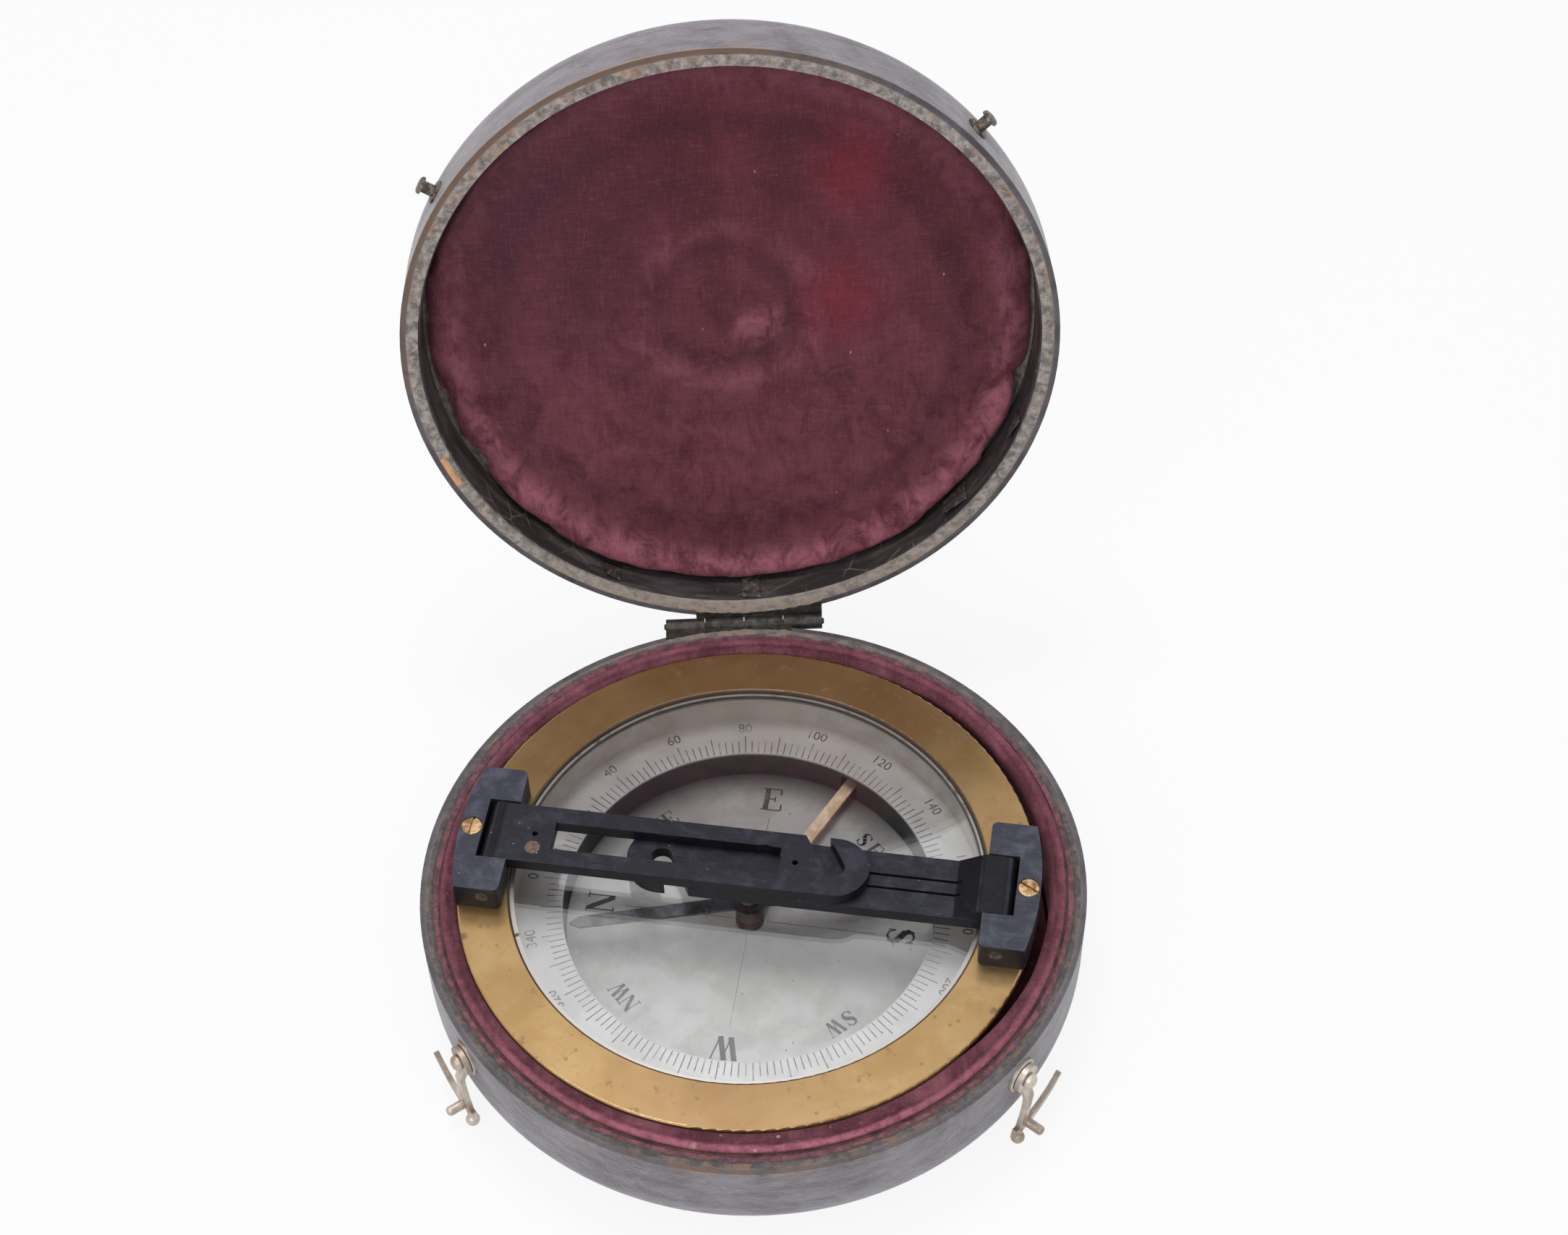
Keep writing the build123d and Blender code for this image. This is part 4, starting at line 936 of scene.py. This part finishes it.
@dataclass
class Lid:
    """Lid of the case: leather, rim, paper strip and velvet pad."""

    pad_radius: float = 46.15
    pad_face: float = 5.8
    pad_back: float = 12.4
    dent_x: float = -0.3
    dent_y: float = -4.8
    wall_r: float = 47.05
    slim: float = 0.7
    voxel: float = 2.3
    pressure: float = 4.0
    puff_steps: int = 20
    cap: float = 1.2
    fit_radius: float = 46.9
    roll_at: float = 45.6
    roll_rise: float = 2.2
    sectors: int = 72

    def build(self) -> None:
        """Make the pad and dress the rest."""
        leather = WornLeather(edge_height=13.0, lip_at=-126.0, lip_width=75.0, lip_share=1.0)
        dress(AT_LID, {
            "lid_leather_finish": (leather, ["lid_leather"]),
            "lid_rim_finish": (LID_RIM, ["lid_core"]),
            "lid_strip_finish": (LiningPaper(), ["lid_strip"])})
        pad = self.pad(CrushedVelvet(pad=True).make("pad_velvet_finish", AT_LID))
        self.puff(pad)
        self.press(pad)
        join_in(pad, "lid", Slot.VELVET, "lid_pad")
        join_in(self.torn_paper(LiningPaper(torn=True).make("torn_paper_finish", AT_LID)), "lid", Slot.STRIP)

    def pad(self, velvet: Material) -> Object:
        """Disc that the padding starts from, a little smaller than its space."""
        radius, face, back = self.pad_radius - self.slim, self.pad_face + self.slim, self.pad_back
        profile = [(0.0, back), (radius - 4.3, back), (radius - 1.4, back - 1.4), (radius - 0.2, back - 3.6),
                   (radius, face + 1.6), (radius - 0.35, face + 0.7), (radius - 1.2, face + 0.15),
                   (radius - 2.4, face), (radius * 0.5, face), (0.0, face)]
        return Work().turn(profile, 160).piece("lid_velvet_pad", AT_LID, velvet)

    def puff(self, pad: Object) -> None:
        """Swell the disc as stuffed velvet swells, in a cloth simulation."""
        even = pad.modifiers.new("even_mesh", "REMESH")
        even.mode, even.voxel_size = "VOXEL", self.voxel * MM
        settle(pad)
        start = [vert.co.copy() for vert in pad.data.vertices]
        cloth = pad.modifiers.new("stuffing", "CLOTH")
        cloth.settings.use_pressure = True
        cloth.settings.uniform_pressure_force = self.pressure
        cloth.settings.effector_weights.gravity = 0.0
        for step in range(1, self.puff_steps + 1):
            bpy.context.scene.frame_set(step)
        settle(pad)
        bpy.context.scene.frame_set(1)
        for vert, before in zip(pad.data.vertices, start):
            move = vert.co - before
            if move.length > self.cap * MM:
                vert.co = before + move.normalized() * self.cap * MM
        finer = pad.modifiers.new("finer", "SUBSURF")
        finer.levels = finer.render_levels = 2
        settle(pad)
        pad.data.shade_smooth()

    def sector(self, co: Vector) -> int:
        """Number of the sector that a point of the pad lies in."""
        return round(math.atan2(co.y, co.x) * self.sectors / (2 * math.pi)) % self.sectors

    def press(self, pad: Object) -> None:
        """Press the dents of the compass into the face, and keep the pad in its space."""
        place = AT_LID.matrix()
        back = place.inverted()
        widest = [0.0] * self.sectors
        for vert in pad.data.vertices:
            co = back @ vert.co
            widest[self.sector(co)] = max(widest[self.sector(co)], math.hypot(co.x, co.y))
        reach = [max(widest[(i + k) % self.sectors] for k in (-1, 0, 1)) for i in range(self.sectors)]
        for vert in pad.data.vertices:
            co = back @ vert.co
            radius, limit = math.hypot(co.x, co.y), reach[self.sector(co)]
            stretch = 1.0 + (self.fit_radius / limit - 1.0) * (radius / limit) ** 2
            co.x, co.y, radius = co.x * stretch, co.y * stretch, radius * stretch
            if co.z < self.pad_face + 3.0:
                uneven = (0.35 * noise.noise(Vector((co.x, co.y, 0.0)) * 0.09)
                          + 0.14 * noise.noise(Vector((co.x, co.y, 5.0)) * 0.3))
                co.z += share((self.fit_radius - radius) / 2.5) * (self.dents(co.x, co.y) + uneven)
                co.z -= self.roll(co.x, co.y)
            co.z = max(self.pad_face - self.roll_rise - 0.3, min(self.pad_back, co.z))
            vert.co = place @ co

    def roll(self, x: float, y: float) -> float:
        """How far the rolled edge stands out of the face, flat where the sights lie when shut."""
        away = abs(math.sin(math.atan2(y, x) - math.radians(CASE.compass_turn)))
        wave = 1.0 + 0.35 * noise.noise(Vector((x, y, 7.0)) * 0.08)
        bulge = math.exp(-((math.hypot(x, y) - self.roll_at) / 1.5) ** 2)
        return self.roll_rise * share((away - 0.36) / 0.14) * wave * bulge

    def dents(self, x: float, y: float) -> float:
        """How far the sights and the compass have pressed the face in at a point."""
        inner = math.hypot(x - self.dent_x, y - self.dent_y) + 0.8 * noise.noise(Vector((x, y, 3.0)) * 0.12)
        outer = math.hypot(x, y) + 0.9 * noise.noise(Vector((x, y, 9.0)) * 0.1)

        def groove(distance: float, middle: float, width: float) -> float:
            """Round-bottomed groove."""
            return math.exp(-((distance - middle) / width) ** 2)

        return (0.75 * groove(inner, 10.4, 1.8) + 0.5 * groove(inner, 0.0, 5.0)
                + 0.4 * groove(inner, 20.5, 2.4) + 0.3 * groove(inner, 29.0, 2.2)
                + 0.7 * groove(outer, 37.0, 2.6))

    def torn_paper(self, paper: Material) -> Object:
        """Flaps of the strip that have come off the wall, and the joint of its ends."""
        work = Work()
        for degrees, low, high, wide, lift in ((42.0, 1.4, 6.6, 5.2, 1.1), (21.0, 1.0, 4.4, 3.6, 0.8),
                                               (88.0, 0.7, 8.0, 3.0, 0.25), (116.0, 1.2, 5.0, 2.6, 0.5)):
            for vert in bmesh.ops.create_grid(work.bm, x_segments=10, y_segments=8, size=0.5)["verts"]:
                u, v = vert.co.x + 0.5, vert.co.y + 0.5
                ragged = 0.25 * noise.noise(Vector((u * 6.0, v * 5.0, degrees)))
                angle = math.radians(degrees) + (u - 0.5 + 0.25 * ragged) * wide / self.wall_r
                radius = self.wall_r - 0.12 - lift * (1 - v) ** 2 * u
                height = low + (high - low) * v + ragged * (1 - v)
                vert.co = Vector((radius * math.cos(angle), radius * math.sin(angle), height))
        bmesh.ops.solidify(work.bm, geom=work.bm.faces[:], thickness=0.08)
        bmesh.ops.recalc_face_normals(work.bm, faces=work.bm.faces[:])
        return work.piece("torn_lining_flaps", AT_LID, paper)


@dataclass
class Dial:
    """Engraved marks of the dial and of the degree ring."""

    floor: float = -12.0
    ring: float = -6.9
    ring_in: float = 28.4
    tick: float = 2.5
    proud: float = 0.02
    numeral_height: float = 2.3
    letter_radius: float = 23.3
    letter_height: float = 4.15
    small_height: float = 2.6
    line_from: float = 2.6
    line_to: float = 19.5
    line_width: float = 0.09

    def build(self) -> None:
        """Make the marks."""
        dress(AT_COMPASS, {"silvered_finish": (SilveredBrass(), ["dial_floor", "degree_ring"])})
        ink = EngravedInk().make("ink_finish", AT_COMPASS)
        tick_ink = EngravedInk(shade(84, 81, 80), shade(150, 147, 144), 0.7).make(
            "tick_ink_finish", AT_COMPASS)
        faint = EngravedInk(shade(74, 72, 70), shade(150, 148, 146), 0.6).make("faint_ink_finish", AT_COMPASS)
        for marks in (self.ticks(tick_ink), self.numerals(faint), self.letters(ink), self.cross_lines(faint)):
            join_in(marks, "compass", Slot.SILVERED)

    def ticks(self, ink: Material) -> Object:
        """A line for every second degree, longer at the tens."""
        work = Work()
        for every, gap, end, width in ((2, 0.2, self.tick, 0.16), (10, self.tick, self.tick + 1.0, 0.18)):
            verts = work.slab((self.ring_in + gap, 0.0), (self.ring_in + end, 0.0), width,
                              self.ring - 0.02, self.ring + self.proud)
            faces = {face for vert in verts for face in vert.link_faces}
            edges = {edge for vert in verts for edge in vert.link_edges}
            bmesh.ops.spin(work.bm, geom=[*verts, *edges, *faces], cent=(0, 0, 0), axis=(0, 0, 1),
                           angle=2 * math.pi * (1 - every / 360), steps=360 // every - 1, use_duplicate=True)
        return work.piece("degree_ticks", AT_COMPASS, ink, smooth=False)

    def numerals(self, ink: Material) -> Object:
        """Numbers of every twentieth degree, tops outward, counted clockwise from north."""
        work = Work()
        upright = (Matrix.Translation((self.ring_in + self.tick + 1.4, 0, self.ring))
                   @ Matrix.Rotation(-math.pi / 2, 4, "Z"))
        for number in range(0, 360, 20):
            curve = bpy.data.curves.new("numeral", "FONT")
            curve.body = str(number)
            curve.size = self.numeral_height
            curve.align_x, curve.align_y = "CENTER", "BOTTOM"
            curve.extrude = self.proud
            text = bpy.data.objects.new("numeral", curve)
            mesh = bpy.data.meshes.new_from_object(text)
            mesh.transform(Matrix.Rotation(math.radians(180 - number), 4, "Z") @ upright)
            work.bm.from_mesh(mesh)
            bpy.data.objects.remove(text)
            bpy.data.curves.remove(curve)
            bpy.data.meshes.remove(mesh)
        return work.piece("degree_numerals", AT_COMPASS, ink, smooth=False)

    def cross_lines(self, ink: Material) -> Object:
        """Thin lines through the centre of the dial."""
        work = Work()
        for angle in (0, 90, 180, 270):
            turned = Matrix.Rotation(math.radians(angle), 2)
            start, end = (tuple(turned @ Vector((radius, 0.0))) for radius in (self.line_from, self.line_to))
            work.slab(start, end, self.line_width, self.floor - 0.02, self.floor + self.proud)
        return work.piece("dial_cross_lines", AT_COMPASS, ink, smooth=False)

    def letters(self, ink: Material) -> Object:
        """Roman letters of the quarters and of the points between them."""
        work = Work()
        big, small = self.letter_height, self.small_height
        for word, angle, height in (("N", 180, big), ("E", 90, big), ("S", 0, big), ("W", -90, big),
                                    ("NE", 135, small), ("SE", 45, small),
                                    ("SW", -45, small), ("NW", -135, small)):
            turned = Matrix.Rotation(math.radians(angle), 4, "Z")
            out = Matrix.Translation((self.letter_radius, 0, 0)) @ Matrix.Rotation(-math.pi / 2, 4, "Z")
            for i, letter in enumerate(word):
                shift = (i - (len(word) - 1) / 2) * height * 0.98
                verts = RomanLetter(letter).cut(work, self.floor - 0.02, self.floor + self.proud)
                sized = Matrix.Diagonal((height, height, 1.0, 1.0)) @ Matrix.Translation((-0.42, -0.5, 0))
                work.move(verts, turned @ out @ Matrix.Translation((shift, 0, 0)) @ sized)
        return work.piece("dial_letters", AT_COMPASS, ink, smooth=False)


@dataclass(frozen=True)
class RomanLetter:
    """A capital with thick and thin strokes, one unit high."""

    name: str
    thick: float = 0.2
    thin: float = 0.055

    def strokes(self) -> list[tuple[Point2, Point2, float]]:
        """Straight strokes as (start, end, width)."""
        bold, fine = self.thick, self.thin
        return {
            "N": [((0.12, 0), (0.12, 1), fine), ((0.14, 0.96), (0.72, 0.04), bold),
                  ((0.76, 0), (0.76, 1), fine), ((0, 0), (0.26, 0), fine), ((0, 1), (0.2, 1), fine),
                  ((0.62, 1), (0.9, 1), fine)],
            "E": [((0.2, 0), (0.2, 1), bold), ((0.02, 1), (0.72, 1), fine), ((0.02, 0), (0.78, 0), fine),
                  ((0.2, 0.52), (0.52, 0.52), fine), ((0.52, 0.4), (0.52, 0.64), fine),
                  ((0.72, 0.98), (0.72, 0.74), 0.07), ((0.78, 0.02), (0.78, 0.3), 0.07)],
            "W": [((0.04, 1), (0.3, 0), bold), ((0.3, 0), (0.5, 1), fine), ((0.42, 1), (0.68, 0), bold),
                  ((0.68, 0), (0.92, 1), fine), ((-0.08, 1), (0.2, 1), fine), ((0.32, 1), (0.6, 1), fine),
                  ((0.8, 1), (1.02, 1), fine)],
            "S": [((0.66, 0.7), (0.66, 0.97), fine), ((0.14, 0.3), (0.14, 0.03), fine)],
        }[self.name]

    def spine(self) -> list[Triple]:
        """Points and half widths of the curved stroke of an S."""
        if self.name != "S":
            return []
        return [(0.65, 0.76, 0.035), (0.56, 0.93, 0.035), (0.4, 0.99, 0.035), (0.22, 0.93, 0.06),
                (0.16, 0.77, 0.09), (0.24, 0.62, 0.115),
                (0.42, 0.5, 0.13), (0.58, 0.37, 0.115), (0.64, 0.22, 0.09),
                (0.57, 0.06, 0.055), (0.4, 0.0, 0.035), (0.24, 0.06, 0.035), (0.15, 0.26, 0.035)]

    def cut(self, work: Work, low: float, high: float) -> list[bmesh.types.BMVert]:
        """Add the letter to a mesh and return its vertices."""
        verts: list[bmesh.types.BMVert] = []
        for start, end, width in self.strokes():
            verts += work.slab(start, end, width, low, high)
        spine = self.spine()
        for (x0, y0, w0), (x1, y1, w1) in zip(spine, spine[1:]):
            verts += work.slab((x0, y0), (x1, y1), w0 + w1, low, high, cap=min(w0, w1) * 0.6)
        return verts


@dataclass
class Compass:
    """Flange, bowl, glass, needle, lifter and the folding sights."""

    bracket_face: float = 5.3
    lever_dull: float = 3.3

    def build(self) -> None:
        """Dress the metal, glass and stone."""
        bracket = BlackenedBrass(shade(60, 62, 72), shade(86, 88, 100), shade(104, 106, 116),
                                 (self.bracket_face,))
        lever = AgedMetal(shade(226, 204, 176), shade(186, 154, 122), 0.3, 4.0, 0.6, self.lever_dull)
        dress(AT_COMPASS, {
            "flange_finish": (GoldenBrass(), ["compass_flange", "compass_bowl"]),
            "lever_finish": (lever, ["lifter_lever", "lifter_bridge"]),
            "post_finish": (AgedMetal(shade(106, 80, 72), shade(70, 50, 50), 0.42, 1.4, 0.5), ["pivot_post"]),
            "screw_finish": (AgedMetal(shade(206, 172, 128), shade(122, 92, 66), 0.32, 1.4),
                             ["bracket_screws"]),
            "collet_finish": (AgedMetal(shade(98, 64, 60), shade(58, 38, 42), 0.4, 1.0, 0.4),
                              ["needle_collet"]),
            "bezel_finish": (SplitRing(), ["bezel_ring"]),
            "glass_finish": (FlatGlass(), ["glass"]),
            "bracket_finish": (bracket, ["bracket_left", "bracket_right"]),
            "sight_finish": (BlackenedBrass(), ["vane_left", "vane_right"]),
            "sight_pin_finish": (AgedMetal(shade(104, 99, 96), shade(50, 48, 50), 0.4, 1.0, 0.5),
                                 ["sight_pins"]),
            "copper_finish": (AgedMetal(shade(128, 106, 96), shade(88, 72, 64), 0.5, 0.9, 0.6),
                              ["vane_rivet"]),
            "needle_finish": (AgedMetal(shade(112, 110, 112), shade(64, 62, 66), 0.32, 3.0, 0.7), ["needle"]),
            "jewel_finish": (DarkAgate(), ["needle_jewel"])})


@dataclass
class Fittings:
    """Hinge, side hooks, plates, rivets and studs."""

    def build(self) -> None:
        """Dress the small metal of the case."""
        dress(AT_RIM, {
            "base_leaf_finish": (CoveredHinge(BASE_RIM), ["hinge_base_leaf"]),
            "hinge_pin_finish": (AgedMetal(shade(84, 78, 72), shade(48, 44, 42), 0.45, 2.0, 0.7),
                                 ["hinge_pin"]),
            "hook_finish": (AgedMetal(shade(204, 193, 182), shade(158, 143, 130), 0.34, 5.0),
                            ["hook_left", "hook_right", "hook_plates", "hook_rivets"])})
        dress(AT_LID, {
            "lid_leaf_finish": (CoveredHinge(LID_RIM), ["hinge_lid_leaf"]),
            "stud_finish": (AgedMetal(shade(128, 118, 108), shade(62, 54, 50), 0.36, 0.9), ["lid_studs"])})


@dataclass
class Studio:
    """Camera, floor, world and soft lamps."""

    distance: float = 400.0
    elevation: float = 54.467
    pan: float = 0.904299
    tilt: float = -5.585589
    roll: float = 2.458502
    lens: float = 60.7855
    sensor: float = 36.0
    floor_size: float = 6000.0
    floor_height: float = -0.05
    room_light: float = 0.54
    aim: Triple = (0.0, 20.0, 30.0)

    def build(self) -> None:
        """Set up the picture."""
        self.camera()
        self.floor()
        self.world()
        self.lamp("top_lamp", (-50.0, 140.0, 670.0), 190.0, 1.38)
        self.lamp("front_lamp", (-160.0, -430.0, 460.0), 420.0, 1.14)
        bpy.context.scene.view_settings.view_transform = "Standard"

    def camera(self) -> None:
        """Camera at the photograph's angle."""
        rise = math.radians(self.elevation)
        stand = Matrix(((1, 0, 0), (0, math.sin(rise), math.cos(rise)), (0, -math.cos(rise), math.sin(rise))))
        aim = (Matrix.Rotation(math.radians(self.roll), 3, "Z")
               @ Matrix.Rotation(math.radians(self.tilt), 3, "X")
               @ Matrix.Rotation(math.radians(self.pan), 3, "Y"))
        data = bpy.data.cameras.new("photo_camera")
        data.lens, data.sensor_width = self.lens, self.sensor
        data.clip_start, data.clip_end = 0.01, 20.0
        camera = in_scene("photo_camera", data)
        seat = Vector((0.0, -self.distance * math.cos(rise), CASE.rim + self.distance * math.sin(rise))) * MM
        camera.matrix_world = Matrix.Translation(seat) @ (aim @ stand).transposed().to_4x4()
        bpy.context.scene.camera = camera

    def floor(self) -> None:
        """Pale floor that keeps a faint shadow."""
        work = Work()
        bmesh.ops.create_grid(work.bm, x_segments=1, y_segments=1, size=self.floor_size / 2)
        place = Place((0.0, 0.0, self.floor_height))
        floor = work.piece("floor", place, PaleFloor().make("floor_finish", place), smooth=False)

    def world(self) -> None:
        """White surroundings for camera and gloss, softer light for the rest."""
        world = bpy.data.worlds.new("soft_room")
        bpy.context.scene.world = world
        r = Recipe(world)
        light = r.node("ShaderNodeMapRange", None, {
            "Value": r.directly_seen(), "To Min": self.room_light, "To Max": 1.0})
        sky = r.node("ShaderNodeBackground", None, {"Color": (1, 1, 1, 1), "Strength": light.outputs[0]})
        r.node("ShaderNodeOutputWorld", None, {"Surface": sky.outputs[0]})

    def lamp(self, name: str, seat: Triple, size: float, power: float) -> None:
        """Soft square lamp that points at the case."""
        data = bpy.data.lights.new(name, "AREA")
        data.shape, data.size, data.energy = "SQUARE", size * MM, power
        where = Vector(seat) * MM
        aim = (Vector(self.aim) * MM - where).to_track_quat("-Z", "Y").to_matrix().to_4x4()
        in_scene(name, data).matrix_world = Matrix.Translation(where) @ aim


def main() -> None:
    """Build the sub-assemblies in order."""
    logging.basicConfig(level=logging.INFO, format="%(name)s: %(message)s")
    for part in (Studio(), CaseBase(), Lid(), Dial(), Compass(), Fittings()):
        part.build()


if __name__ == "__main__":
    main()
